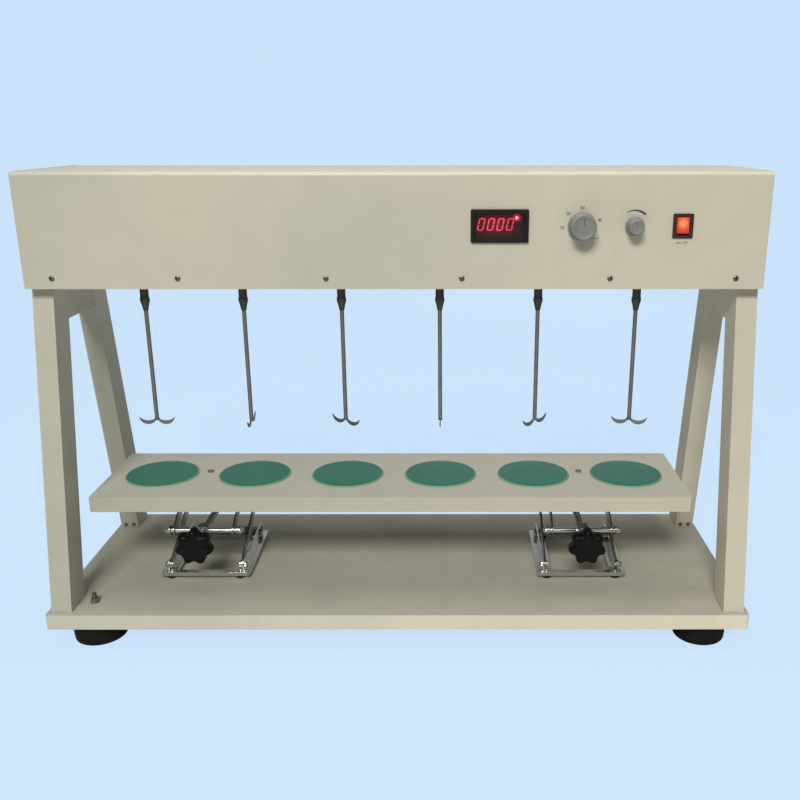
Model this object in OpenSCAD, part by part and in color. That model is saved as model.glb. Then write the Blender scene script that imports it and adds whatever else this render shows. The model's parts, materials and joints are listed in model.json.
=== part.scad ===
// Six-station bench stirrer for jar tests: a drive head on two A-shaped side
// frames, a tray base, and a beaker platform carried by two scissor jacks.
// Millimetres. Origin: middle of the footprint on the bench. +X right, +Y back.

/* [Base] */
// How far the base tray reaches beyond the head at each end
base_over = 6; // [2:1:24]
// Depth of the base tray, front to back
base_d = 336; // [330:2:380]
// Height of the folded lip round the base tray
lip_h = 22; // [18:1:32]
// Sheet thickness of the base and the beaker platform
sheet_t = 1.5; // [1:0.1:2]
// Corner radius of the base tray
base_r = 4; // [3:0.5:8]
// Height of the round rubber feet
foot_h = 34; // [26:1:40]
// Diameter of the rubber feet where they meet the base
foot_top_d = 76; // [60:1:80]
// Diameter of the rubber feet where they meet the bench
foot_low_d = 72; // [52:1:74]
// Distance from a foot's centre to the end of the base
foot_inset_x = 55; // [50:1:64]
// Distance from a foot's centre to the front or back of the base
foot_inset_y = 48; // [46:1:60]
// Side of the square plate that carries a foot in each corner
corner_plate = 96; // [86:1:104]

/* [Side frames] */
// Height of the side frames, from the base to the head
frame_h = 442; // [420:2:500]
// Width of a leg across the front
leg_w = 28; // [24:1:34]
// Depth of a leg, front to back
leg_d = 45; // [38:1:50]
// Sheet thickness of the legs
leg_t = 1.5; // [1:0.1:2.5]
// Distance from the middle to a leg's outer face at the head
leg_top_y = 85; // [80:1:92]
// Distance from the middle to a leg's outer face at the base
leg_foot_y = 160; // [140:1:164]
// Height of the closed box that joins the two legs under the head
saddle_h = 50; // [36:1:70]

/* [Head] */
// Depth of the head, front to back
head_d = 210; // [206:2:230]
// Height of the head
head_h = 148; // [134:1:170]
// Sheet thickness of the cover and the chassis
head_t = 1.2; // [0.8:0.1:1.6]
// Bend radius along the top edges of the cover
head_r = 5; // [3:0.5:10]
// Height of the chassis flange that the cover is screwed to
chassis_h = 26; // [22:1:32]
// Height of the cover screws above the cover's lower edge
cover_screw_z = 14; // [12:0.5:16]

/* [Stations] */
// Distance between stirring stations
pitch = 140; // [132:1:142]
// How far the row of stations sits to the right of the middle
row_x = -12; // [-12:1:0]
// Diameter of the drive spindles
spindle_d = 12; // [10:0.5:14]
// Height of the bearing housings
housing_h = 44; // [36:1:48]
// Diameter of the stirrer rods
rod_d = 6; // [5:0.5:8]
// Height of the stirrer blades' middle above the base
paddle_z = 228; // [215:1:260]
// Length of one stirrer blade from the rod's axis
blade_l = 26.5; // [22:0.5:34]
// Greatest width of a stirrer blade
blade_w = 5.7; // [4:0.1:8]
// How far a blade's tips stand above its lowest point
blade_rise = 11.4; // [10:0.1:13]
// Thickness of the stirrer blades
blade_t = 1.5; // [1:0.1:3]
// Length of the collet chucks
chuck_l = 51; // [44:1:60]
// Largest diameter of the collet chucks
chuck_d = 13.5; // [13:0.1:18]
// Diameter of the spindle pulleys
pulley_d = 40; // [30:1:50]
// Diameter of the motor pulley
motor_pulley_d = 20; // [16:1:26]
// Diameter of the motor
motor_d = 64; // [50:1:70]

/* [Beaker platform] */
// Distance from an end station to the end of the beaker platform
plat_end = 78; // [60:1:90]
// Mean space between the platform's ends and the side frames
plat_space = 24; // [20:1:60]
// Depth of the beaker platform
plat_d = 180; // [176:1:190]
// Height of the lip round the platform
plat_lip = 22; // [14:1:24]
// Height of the platform's top above the base
plat_z = 142; // [132:1:148]
// Diameter of the beaker places
pad_d = 108; // [90:1:116]
// Thickness of the beaker places
pad_t = 2; // [1:0.1:4]

/* [Scissor jacks] */
// Width of a jack's base
jack_w = 132; // [126:1:140]
// Depth of a jack's base
jack_d = 146; // [144:1:152]
// Distance from the middle to a jack's front edge
jack_front = 63; // [60:1:68]
// Distance between the pivots of a jack arm
arm_l = 124; // [120:1:125]
// Clear width between a jack's upright ears
ear_span = 109; // [104:1:116]
// Width of the jack arms
arm_w = 14; // [12:0.5:15]
// Thickness of the jack arms
arm_t = 2.5; // [2:0.1:2.8]
// Diameter of the cross rods
cross_d = 8; // [6:0.5:8.5]
// Diameter of the lead screws
screw_d = 10; // [8:0.5:11]
// Diameter of the seven-lobed star knobs
star_d = 54; // [44:1:56]
// Thickness of the star knobs
star_t = 20; // [14:1:24]

/* [Panel] */
// Distance from the head's right end to the middle of the switch
switch_in = 110.5; // [90:0.5:130]
// Distance from the switch to the speed knob
speed_step = 62; // [52:0.5:70]
// Distance from the speed knob to the timer knob
timer_step = 67; // [60:0.5:80]
// Distance from the timer knob to the middle of the display
meter_step = 104.5; // [84:0.5:120]
// Height of the controls' middle line above the head's lower edge
panel_up = 81; // [70:1:90]
// Width of the speed display's frame
meter_w = 74; // [60:1:80]
// Height of the speed display's frame
meter_h = 42; // [36:1:50]
// Diameter of the timer knob
timer_d = 32; // [26:1:36]
// Height of the timer knob
timer_h = 21; // [16:1:26]
// Diameter of the speed knob
speed_d = 19.5; // [16:0.5:24]
// Height of the speed knob
speed_h = 17; // [13:1:22]
// Width of the switch frame
switch_w = 26; // [24:1:32]
// Height of the switch frame
switch_h = 31; // [29:1:38]
// Distance from the head's end to the first cover screw
screw_in = 37; // [24:1:50]
// Distance from the middle to the first cover screw on each side
screw_mid = 88; // [70:1:100]
// Distance from that screw to the next
screw_step = 192; // [160:1:210]
// How far the rocker is tipped when switched on
rocker_tilt = 7; // [4:0.5:8]

/* [Hidden] */
$fn = 48;
stations = 6;
run = 0.05;                               // running gap round a shaft
gap = 0.3;                                // gap between pieces that pass each other
plat_w = (stations - 1) * pitch + 2 * plat_end;
head_w = plat_w + 2 * plat_space + 2 * leg_w;
base_w = head_w + 2 * base_over;
base_top = foot_h + lip_h;
head_z = base_top + frame_h;
head_top = head_z + head_h;
front_y = -head_d / 2;
inner_w = head_w - 2 * head_t;
inner_d = head_d - 2 * head_t;
cream = "#c9c3ae";
steel = "#b9bcc0";
black = "#17181a";
foot_x = base_w / 2 - foot_inset_x;
foot_y = base_d / 2 - foot_inset_y;

// station rods and what drives them
chuck_top = head_z - 4;
stub_l = 22;
stub_d = 8;
blade_turns = [0, 90, -35, 90, 45, -10];  // how each stirrer stands at rest
housing_d = 34;
bearing_d = 26;
bearing_h = 8;
belt_w = 8;                               // width of a belt's groove
belt_t = 2;
flange_t = 1.5;                           // pulley flanges
level_h = belt_w + flange_t;
pulley_z = head_z + head_t + housing_h + 10;
motor_flange = 12;                        // what the motor's foot is wider than the motor
motor_h = 68;
motor_y = inner_d / 2 - head_t - (motor_d + motor_flange) / 2 - 3;
motor_x = row_x;
motor_shaft_d = 8;

// scissor jack geometry: two lower and two upper arms cross on each side
jack_pivot_h = 17;                        // lower pivots above the base
jack_plate_t = 2;
jack_pad_h = 4;
jack_ring_h = 6;
ear_t = 2;
ear_rise = 8;
top_drop = 10.5;                          // upper pivots below the jack's top plate
pivot_z = base_top + jack_pivot_h;
top_plate_z = base_top + plat_z - sheet_t - jack_plate_t;
top_pivot_z = top_plate_z - top_drop;
rise = top_pivot_z - pivot_z;
mid_z = pivot_z + rise / 2;
fold = asin(rise / (2 * arm_l));          // slope of the arms at rest
fold_low = asin((rise - 75) / (2 * arm_l));
pivot_y = -jack_front + arm_w;            // front pivots
rear_y = pivot_y + arm_l * cos(fold);     // rear pivots at rest
slot_end_y = pivot_y + arm_l;             // rear end of the slots
slot_front_y = rear_y - 8;
ear_x = ear_span / 2;                     // inner face of a jack's ears
jack_rail = 9;                            // front and back strips of a jack's base
jack_side = 22;                           // side strips of a jack's base
plane_step = arm_t + 0.5;
plane_a = ear_x - 0.5 - arm_t;            // lower arms, rising to the back
plane_b = plane_a - plane_step;           // lower arms, rising to the front
plane_c = plane_b - plane_step;           // upper arms, rising to the front
plane_d = plane_c - plane_step;           // upper arms, rising to the back
slack = 1.3;                              // up and down play of the upper pivots
block = 16;                               // blocks that the lead screw runs through
knob_back_y = -plat_d / 2 - 3;            // the knob stands clear of the platform
screw_back_y = jack_d - jack_front + 2;
jack_dx = 2 * pitch;

// panel places
panel_z = head_z + panel_up;
switch_x = head_w / 2 - switch_in;
speed_x = switch_x - speed_step;
timer_x = speed_x - timer_step;
meter_x = timer_x - meter_step;
shaft_d = 6;
meter_deep = 40;
bezel_t = 4;
gland_x = switch_x;
gland_z = head_z + 45;
cord_d = 7.2;
cover_screw_xs = [for (s = [-1, 1], x = [head_w / 2 - screw_in, screw_mid + screw_step, screw_mid]) s * x];

// ---------------------------------------------------------------- shapes
// a bar, plate or box centred on X and Y, standing on z = 0
module block_xy(w, d, h) translate([-w / 2, -d / 2, 0]) cube([w, d, h]);

// the same with its upright corners rounded
module round_block(w, d, h, r) linear_extrude(h) round_rect(w, d, r);

module round_rect(w, d, r) {
    square([w - 2 * r, d], center = true);
    square([w, d - 2 * r], center = true);
    for (x = [-1, 1], y = [-1, 1])
        translate([x * (w / 2 - r), y * (d / 2 - r)]) circle(r);
}

// a 2D shape drawn in the YZ plane, thickened along +X from x
module yz_plate(x, t) translate([x, 0, 0]) rotate([90, 0, 90]) linear_extrude(t) children();

// a 2D shape drawn in the XZ plane, thickened towards the front from y
module xz_plate(y, t) translate([0, y, 0]) rotate([90, 0, 0]) linear_extrude(t) children();

module rod_x(d, x0, x1) translate([x0, 0, 0]) rotate([0, 90, 0]) cylinder(d = d, h = x1 - x0);

module rod_y(d, y0, y1) translate([0, y1, 0]) rotate([90, 0, 0]) cylinder(d = d, h = y1 - y0);

// an outline in the XZ plane turned about the Y axis; radius first, then depth
// towards the front of the panel
module revolve_front(y) translate([0, y, 0]) rotate([90, 0, 0]) rotate_extrude() children();

// ---------------------------------------------------------------- base
// folded steel tray, open below, with a plate welded in each corner
module base_tray() color(cream) difference() {
    union() {
        translate([0, 0, foot_h]) difference() {
            round_block(base_w, base_d, lip_h, base_r);
            translate([0, 0, -1])
                round_block(base_w - 2 * sheet_t, base_d - 2 * sheet_t, lip_h + 1 - sheet_t, base_r - sheet_t);
        }
        for (x = [-1, 1], y = [-1, 1])
            translate([x * (base_w / 2 - corner_plate / 2 - sheet_t / 2),
                    y * (base_d / 2 - corner_plate / 2 - sheet_t / 2), foot_h])
                block_xy(corner_plate, corner_plate, sheet_t * 2);
    }
    for (x = [-1, 1], y = [-1, 1]) {
        translate([x * foot_x, y * foot_y, 0]) cylinder(d = foot_bolt_d + 0.4, h = foot_h + 10);
        translate([x * leg_x, y * leg_bolt_y(base_top), base_top - 5]) cylinder(d = leg_bolt_d + 0.4, h = 10);
    }
    translate([stud_x, stud_y, base_top - 5]) cylinder(d = stud_d + 0.4, h = 10);
}

foot_bolt_d = 8;
leg_bolt_d = 6;
stud_d = 6;
stud_x = -base_w / 2 + 55;
stud_y = -base_d / 2 + 38;
leg_x = head_w / 2 - leg_w / 2;
recess_d = 24;
recess_h = 12;

// four feet under the base and four small pads under each jack
module rubber_feet() color(black) {
    for (x = [-1, 1], y = [-1, 1]) translate([x * foot_x, y * foot_y, 0]) rotate_extrude() foot_2d();
    jack_corners(base_top) cylinder(d1 = 13, d2 = 11.5, h = jack_pad_h);
}

// each jack's four corners, where its pads and their screws are; the back ones
// stand further in, clear of the arms that come down there
module jack_corners(z) for (s = [-1, 1], x = [-1, 1], y = [0, 1])
    translate([row_x + s * jack_dx + x * (y == 0 ? jack_w / 2 - 15 : plane_b - 4),
        -jack_front + 6.5 + y * (jack_d - 13), z]) children();

module foot_2d() difference() {
    union() {
        polygon([[0, 2], [foot_low_d / 2, 2], [foot_low_d / 2 + 1, 6], [foot_top_d / 2, foot_h - 8],
            [foot_top_d / 2, foot_h], [0, foot_h]]);
        square([foot_low_d / 2 - 2, 2]);
        translate([foot_low_d / 2 - 2, 2]) circle(2);
    }
    translate([-1, -1]) square([recess_d / 2 + 1, recess_h + 1]);
    translate([-1, 0]) square([foot_bolt_d / 2 + 0.2 + 1, foot_h + 1]);
}

// ---------------------------------------------------------------- side frames
// distance from the middle to a leg's outer face at height z
function leg_y(z) = leg_top_y + (leg_foot_y - leg_top_y) * (head_z - z) / frame_h;

function leg_bolt_y(z) = leg_y(z) - leg_d / 2;

module leg_2d(s, wall, z0, z1) polygon([
    [s * (leg_y(z1) - wall), z1], [s * (leg_y(z0) - wall), z0],
    [s * (leg_y(z0) - leg_d + wall), z0], [s * (leg_y(z1) - leg_d + wall), z1]]);

module frame_2d(wall) {
    leg_2d(-1, wall, base_top + wall, head_z - wall);
    leg_2d(1, wall, base_top + wall, head_z - wall);
    translate([-leg_top_y + leg_d / 2, head_z - saddle_h + wall])
        square([2 * leg_top_y - leg_d, saddle_h - 2 * wall]);
}

// folded box legs, closed at the foot, welded to a box under the head
module side_frame(s) color(cream) difference() {
    yz_plate(s * leg_x - leg_w / 2, leg_w) frame_2d(0);
    yz_plate(s * leg_x - leg_w / 2 + leg_t, leg_w - 2 * leg_t) frame_2d(leg_t);
    for (y = [-1, 1]) {
        translate([s * leg_x, y * leg_bolt_y(base_top), base_top - 1]) cylinder(d = leg_bolt_d + 0.4, h = 8);
        translate([s * leg_x, y * leg_bolt_y(head_z), head_z - 6]) cylinder(d = leg_bolt_d + 0.4, h = 8);
    }
    toe_places(s) translate([0, 0, -4]) cylinder(d = toe_d + 0.4, h = 8);
}

toe_dx = 6.5;                             // the two screws at the foot of a back leg
toe_d = 3;
toe_z = base_top + 6;
toe_y = leg_y(toe_z) - leg_d;

// on a back leg's front face, with +Z going square into the leg
module toe_places(s) for (x = [-1, 1])
    translate([s * leg_x + x * toe_dx, toe_y, toe_z]) rotate([lean - 90, 0, 0]) children();

// a screw standing on its head's seat at the origin, its shank along +Z
module screw_up(d, l, head_d, head_h) {
    cylinder(d = d, h = l);
    translate([0, 0, -head_h]) cylinder(d = head_d, h = head_h);
}

module hex(d, h) cylinder(d = d / cos(30), h = h, $fn = 6);

// foot bolts, frame bolts, toe screws and the earth stud
module frame_screws() color(steel) {
    for (x = [-1, 1], y = [-1, 1]) {
        translate([x * foot_x, y * foot_y, recess_h]) screw_up(foot_bolt_d, foot_h - recess_h + 13, 16, 5);
        translate([x * foot_x, y * foot_y, foot_h + 2 * sheet_t]) nut(foot_bolt_d, 13, 6);
        translate([x * leg_x, y * leg_bolt_y(base_top), base_top - sheet_t]) screw_up(leg_bolt_d, 12, 12, 4);
        translate([x * leg_x, y * leg_bolt_y(head_z), head_z + head_t]) rotate([180, 0, 0])
            screw_up(leg_bolt_d, 12, 12, 4);
    }
    for (s = [-1, 1]) toe_places(s) screw_up(toe_d, 6, 6, 1.6);
    translate([stud_x, stud_y, base_top - 8]) cylinder(d = stud_d, h = 22);
    translate([stud_x, stud_y, base_top]) cylinder(d = 13, h = 1.2);
    translate([stud_x, stud_y, base_top + 1.2]) nut(stud_d, 10, 5);
    translate([stud_x, stud_y, base_top - sheet_t - 4]) nut(stud_d, 10, 4);
}

lean = atan((leg_foot_y - leg_top_y) / frame_h);

module nut(bore, across, h) difference() {
    hex(across, h);
    translate([0, 0, -1]) cylinder(d = bore + 2 * run, h = h + 2);
}

// ---------------------------------------------------------------- head
// outline of the cover, open below, with round top bends
module hood_2d(d, h, r) {
    translate([-d / 2, 0]) square([d, h - r]);
    translate([-d / 2 + r, 0]) square([d - 2 * r, h]);
    for (s = [-1, 1]) translate([s * (d / 2 - r), h - r]) circle(r);
}

// one sheet folded over front, top and back, with its ends welded in
module head_cover() color(cream) difference() {
    translate([0, 0, head_z]) difference() {
        yz_plate(-head_w / 2, head_w) hood_2d(head_d, head_h, head_r);
        translate([0, 0, -1]) yz_plate(-inner_w / 2, inner_w)
            hood_2d(inner_d, head_h - head_t + 1, head_r - head_t);
    }
    cover_screw_holes();
    translate([meter_x, front_y + 5, panel_z]) rotate([90, 0, 0])
        linear_extrude(10) square([meter_w - 6, meter_h - 6], center = true);
    for (x = [timer_x, speed_x]) translate([x, 0, panel_z]) rod_y(bush_d + 0.4, front_y - 5, front_y + 5);
    translate([switch_x, front_y + 5, panel_z]) rotate([90, 0, 0])
        linear_extrude(10) square([switch_w - 5, switch_h - 5], center = true);
    translate([gland_x, 0, gland_z]) rod_y(gland_thread_d + 0.4, -front_y - 5, -front_y + 5);
}

bush_d = 9;
gland_thread_d = 16;

module cover_screw_holes() for (x = cover_screw_xs)
    translate([x, 0, head_z + cover_screw_z]) rod_y(4.3, front_y - 5, -front_y + 5);

// tray that closes the head below and carries the drive
module head_chassis() color(cream) difference() {
    translate([0, 0, head_z]) difference() {
        block_xy(inner_w, inner_d, chassis_h);
        translate([0, 0, head_t]) block_xy(inner_w - 2 * head_t, inner_d - 2 * head_t, chassis_h);
    }
    cover_screw_holes();
    for (i = [0 : stations - 1]) translate([station_x(i), 0, head_z - 1]) cylinder(d = spindle_d + 4, h = 10);
    for (x = [-1, 1], y = [-1, 1])
        translate([x * leg_x, y * leg_bolt_y(head_z), head_z - 1]) cylinder(d = leg_bolt_d + 0.4, h = 8);
}

module cover_screws() color(steel) for (x = cover_screw_xs, s = [-1, 1])
    translate([x, s * head_d / 2, head_z + cover_screw_z]) rotate([s * 90, 0, 0]) {
        cylinder(d = 4, h = 8);
        translate([0, 0, -2.4]) cylinder(d1 = 6, d2 = 8, h = 2.4);
    }

function station_x(i) = row_x + (i - (stations - 1) / 2) * pitch;

// flanged housings with a ball bearing at each end
module bearing_housings() color(steel) for (i = [0 : stations - 1])
    translate([station_x(i), 0, head_z + head_t]) {
        difference() {
            union() {
                cylinder(d = housing_d + 16, h = 4);
                cylinder(d = housing_d, h = housing_h);
            }
            translate([0, 0, -1]) cylinder(d = spindle_d + 3, h = housing_h + 2);
            for (z = [-0.01, housing_h - bearing_h]) translate([0, 0, z])
                cylinder(d = bearing_d + 2 * run, h = bearing_h + 0.01);
        }
        for (z = [0, housing_h - bearing_h]) translate([0, 0, z]) difference() {
            cylinder(d = bearing_d, h = bearing_h);
            translate([0, 0, -1]) cylinder(d = spindle_d + 2 * run, h = bearing_h + 2);
        }
    }

// ---------------------------------------------------------------- drive
function levels(i) = i == 3 ? 3 : 2;

// shaft with its pulley keyed on, and the stub that the chuck screws onto
module spindle(i) color(steel) translate([station_x(i), 0, 0]) {
    translate([0, 0, chuck_top - stub_l]) cylinder(d = stub_d, h = stub_l + 1);
    translate([0, 0, chuck_top]) cylinder(d = spindle_d, h = pulley_z - chuck_top + level_h * 3 + 4);
    translate([0, 0, head_z + head_t + housing_h + gap]) cylinder(d = spindle_d + 6, h = 6);
    translate([0, 0, pulley_z]) grooves(pulley_d, levels(i));
}

module grooves(d, count) {
    for (n = [0 : count - 1]) translate([0, 0, n * level_h]) {
        cylinder(d = d + 5, h = flange_t);
        cylinder(d = d, h = level_h);
    }
    translate([0, 0, count * level_h]) cylinder(d = d + 5, h = flange_t);
}

module motor() color("#3a3d42") translate([motor_x, motor_y, head_z + head_t]) difference() {
    union() {
        cylinder(d = motor_d + motor_flange, h = 4);
        cylinder(d = motor_d, h = motor_h);
        cylinder(d = 24, h = motor_h + 4);
    }
    translate([0, 0, motor_h - 20]) cylinder(d = motor_shaft_d + 2 * run, h = 30);
}

motor_pulley_z = pulley_z + 2 * level_h;

module motor_pulley() color(steel) translate([motor_x, motor_y, 0]) {
    translate([0, 0, head_z + head_t + motor_h - 15])
        cylinder(d = motor_shaft_d, h = motor_pulley_z + level_h + 4 - (head_z + head_t + motor_h - 15));
    translate([0, 0, motor_pulley_z]) grooves(motor_pulley_d, 1);
}

// one belt links each pair of neighbours, low and high in turn, and one
// belt comes from the motor
module drive_belts() color("#222222") {
    for (i = [0 : stations - 2]) translate([0, 0, pulley_z + (i % 2) * level_h + flange_t + gap])
        linear_extrude(belt_w - 2 * gap) difference() {
            link_2d(station_x(i), station_x(i + 1), pulley_d / 2 + gap + belt_t);
            link_2d(station_x(i), station_x(i + 1), pulley_d / 2 + gap);
        }
    translate([0, 0, motor_pulley_z + flange_t + gap]) linear_extrude(belt_w - 2 * gap) difference() {
        motor_belt_2d(gap + belt_t);
        motor_belt_2d(gap);
    }
}

module link_2d(x0, x1, r) {
    translate([x0, -r]) square([x1 - x0, 2 * r]);
    for (x = [x0, x1]) translate([x, 0]) circle(r);
}

module motor_belt_2d(out) hull() {
    translate([station_x(3), 0]) circle(pulley_d / 2 + out);
    translate([motor_x, motor_y]) circle(motor_pulley_d / 2 + out);
}

// speed controller on four posts
module control_board() color("#2f6b3c") translate([board_x, board_y, head_z + head_t]) {
    for (x = [-1, 1], y = [-1, 1]) translate([x * (board_w / 2 - 6), y * (board_d / 2 - 6), 0])
        cylinder(d = 6, h = 8.5);
    translate([0, 0, 8]) block_xy(board_w, board_d, 1.6);
    translate([-24, 6, 9]) block_xy(26, 24, 26);
    translate([20, 10, 9]) cylinder(d = 18, h = 22);
    translate([14, -16, 9]) block_xy(44, 12, 10);
}

board_w = 92;
board_d = 60;
board_x = (timer_x + speed_x) / 2 - 16;
board_y = inner_d / 2 - head_t - board_d / 2 - 5;

// ---------------------------------------------------------------- panel
// black frame and case of the speed display
module display_meter() color(black) translate([meter_x, front_y, panel_z]) difference() {
    union() {
        rotate([90, 0, 0]) linear_extrude(bezel_t) round_rect(meter_w, meter_h, 2);
        rotate([-90, 0, 0]) linear_extrude(meter_deep) square([meter_w - 7, meter_h - 7], center = true);
    }
    translate([0, 1, 0]) rotate([90, 0, 0]) linear_extrude(bezel_t + 2)
        square([meter_w - 12, meter_h - 12], center = true);
}

module display_window() color("#30060a") translate([meter_x, front_y + 1, panel_z])
    rotate([90, 0, 0]) linear_extrude(bezel_t - 0.5) square([meter_w - 12.2, meter_h - 12.2], center = true);

// clockwork of the timer and the body of the speed control, behind the panel
module panel_controls() color("#8d8f92") {
    translate([timer_x, front_y + head_t, panel_z]) control_body(timer_body, timer_deep);
    translate([speed_x, front_y + head_t, panel_z]) control_body(speed_body, speed_deep);
}

timer_body = 46;
timer_deep = 34;
speed_body = 26;
speed_deep = 14;

module control_body(w, deep) difference() {
    union() {
        rotate([-90, 0, 0]) linear_extrude(deep) round_rect(w, w, 4);
        rod_y(bush_d, -head_t - 3, 1);
        translate([0, -head_t, 0]) rotate([90, 0, 0]) hex(12, 2);
    }
    rod_y(shaft_d + 2 * run, -10, deep - 4);
}

// fluted cap on a plain skirt, with its shaft
module knob(x, d, h, skirt_d, flutes, shaft_l) translate([x, front_y, panel_z]) {
    difference() {
        revolve_front(-3.6) polygon([[0, 0], [skirt_d / 2, 0], [skirt_d / 2, 1.5], [d / 2 + 1, 3],
            [d / 2, 3.5], [d / 2, h - 2], [d / 2 - 1.6, h], [0, h]]);
        for (a = [0 : 360 / flutes : 359]) rotate([0, a, 0])
            translate([d / 2 + 0.3, 0, 0]) rod_y(1.6, -4.6 - h, -3.6 - 4.5);
        translate([-0.6, -3.6 - h - 0.1, d / 5]) cube([1.2, 0.7, d / 3]);
    }
    rod_y(shaft_d, -5, shaft_l);
}

module timer_knob() color("#8f9296") knob(timer_x, timer_d, timer_h, timer_d + 4, 28, timer_deep - 8);

module speed_knob() color("#8f9296") knob(speed_x, speed_d, speed_h, speed_d + 5, 18, speed_deep - 5);

// black frame and body of the lit rocker switch, open at the front
module switch_housing() color(black) translate([switch_x, front_y, panel_z]) difference() {
    union() {
        rotate([90, 0, 0]) linear_extrude(2) round_rect(switch_w, switch_h, 1.5);
        rotate([-90, 0, 0]) linear_extrude(24) square([switch_w - 5.4, switch_h - 5.4], center = true);
    }
    translate([0, 12, 0]) rotate([90, 0, 0]) linear_extrude(16)
        square([rocker_w + 1, rocker_h + 1.4], center = true);
    translate([0, rocker_y, 0]) rod_x(rocker_pin_d + 2 * run, -rocker_w / 2 - 2, rocker_w / 2 + 2);
}

rocker_w = switch_w - 11;
rocker_h = switch_h - 9.4;
rocker_y = 4;
rocker_pin_d = 3;

// shallow V-shaped rocker on its pin, pressed in at the top
module switch_rocker() color("#d81c14") translate([switch_x, front_y + rocker_y, panel_z])
    rotate([-rocker_tilt, 0, 0]) {
        translate([-rocker_w / 2, 0, 0]) rotate([90, 0, 90]) linear_extrude(rocker_w) polygon([
            [-rocker_y - 3, -rocker_h / 2 + 0.6], [-rocker_y - 1.6, 0], [-rocker_y - 3, rocker_h / 2 - 0.6],
            [1, rocker_h / 2 - 1.2], [3, 3], [3, -3], [1, -rocker_h / 2 + 1.2]]);
        rod_x(rocker_pin_d, -rocker_w / 2 - 1.8, rocker_w / 2 + 1.8);
    }

// hollow cable gland in the back of the cover, where the mains lead enters
module cord_gland() color(black) translate([gland_x, head_d / 2, gland_z]) difference() {
    union() {
        rod_y(gland_thread_d, -head_t - 8, 4);
        rotate([-90, 0, 0]) hex(22, 5);
        translate([0, -head_t, 0]) rotate([90, 0, 0]) hex(22, 4);
        rotate([-90, 0, 0]) rotate_extrude() polygon([[0, 5], [10, 5], [10, 13], [8.4, 20], [6.4, 22], [0, 22]]);
    }
    rod_y(cord_d, -20, 30);
}

// ---------------------------------------------------------------- platform
module platform_tray() color(cream) translate([row_x, 0, base_top + plat_z - plat_lip]) difference() {
    round_block(plat_w, plat_d, plat_lip, 3);
    translate([0, 0, -1]) round_block(plat_w - 2 * sheet_t, plat_d - 2 * sheet_t, plat_lip + 1 - sheet_t, 1.5);
    for (s = [-1, 1]) translate([s * jack_dx, jack_mid_y, 0]) cylinder(d = plat_screw_d + 0.4, h = plat_lip + 1);
}

jack_mid_y = jack_d / 2 - jack_front;
plat_screw_d = 5;
plat_nut_h = 4;

// raised round places with a bevelled rim
module station_pads() color("#3f8072") for (i = [0 : stations - 1])
    translate([station_x(i), 0, base_top + plat_z]) cylinder(d1 = pad_d, d2 = pad_d - pad_t, h = pad_t);

module platform_screws() color(steel) for (s = [-1, 1])
    translate([row_x + s * jack_dx, jack_mid_y, base_top + plat_z]) rotate([180, 0, 0]) {
        screw_up(plat_screw_d, sheet_t + jack_plate_t + plat_nut_h + 1.5, plat_screw_d + 4, 2.2);
        translate([0, 0, sheet_t + jack_plate_t]) nut(plat_screw_d, 8, plat_nut_h);
    }

// ---------------------------------------------------------------- scissor jacks
module for_jack(s) translate([row_x + s * jack_dx, 0, 0]) children();

// open ring on the base with two upright ears and a pivot pin in each
module jack_bases() color(steel) {
    jack_corners(base_top + jack_pad_h + jack_ring_h - 0.5) cylinder(d1 = 6, d2 = 5, h = 2.5);
    for (s = [-1, 1]) for_jack(s) jack_base();
}

module jack_base() {
    translate([0, jack_mid_y, base_top + jack_pad_h]) difference() {
        round_block(jack_w, jack_d, jack_ring_h, 5);
        translate([0, 0, -1])
            round_block(jack_w - 2 * jack_side, jack_d - 2 * jack_rail, jack_ring_h + 2, 4);
    }
    for (x = [-1, 1]) yz_plate(x > 0 ? ear_x : -ear_x - ear_t, ear_t) difference() {
        ear_2d(base_top + jack_pad_h + jack_ring_h - 1, pivot_z + ear_rise);
        slot_2d(slot_front_y, slot_end_y, pivot_z, cross_d + 4 * run);
    }
    translate([0, pivot_y, pivot_z]) for (x = [0, 1]) mirror([x, 0, 0]) pivot_stub();
}

// headed pin through an ear and a lower arm, with a domed end outside
module pivot_stub() {
    rod_x(cross_d, plane_a - gap - 1.5, ear_x + ear_t + 1.5);
    rod_x(cross_d + 3, plane_a - gap - 1.8, plane_a - gap);
    translate([ear_x + ear_t, 0, 0]) rotate([0, 90, 0]) rotate_extrude() acorn_2d(cross_d / 2 + 1);
}

// long low ear with rounded upper corners
module ear_2d(z0, z1) {
    y0 = pivot_y - arm_w / 2;
    y1 = slot_end_y + arm_w / 2;
    translate([y0, z0]) square([y1 - y0, z1 - z0 - 5]);
    translate([y0 + 5, z0]) square([y1 - y0 - 10, z1 - z0]);
    for (y = [y0 + 5, y1 - 5]) translate([y, z1 - 5]) circle(5);
}

module slot_2d(y0, y1, z, h) {
    translate([y0, z - h / 2]) square([y1 - y0, h]);
    for (y = [y0, y1]) translate([y, z]) circle(d = h);
}

// cross rod through the ears, with a turned head at each end
module rod_with_heads() {
    rod_x(cross_d, -ear_x - ear_t - 1.5, ear_x + ear_t + 1.5);
    for (x = [-1, 1]) rod_x(cross_d + 4, x * (ear_x + ear_t + 2) - 1.4, x * (ear_x + ear_t + 2) + 1.4);
}

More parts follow.
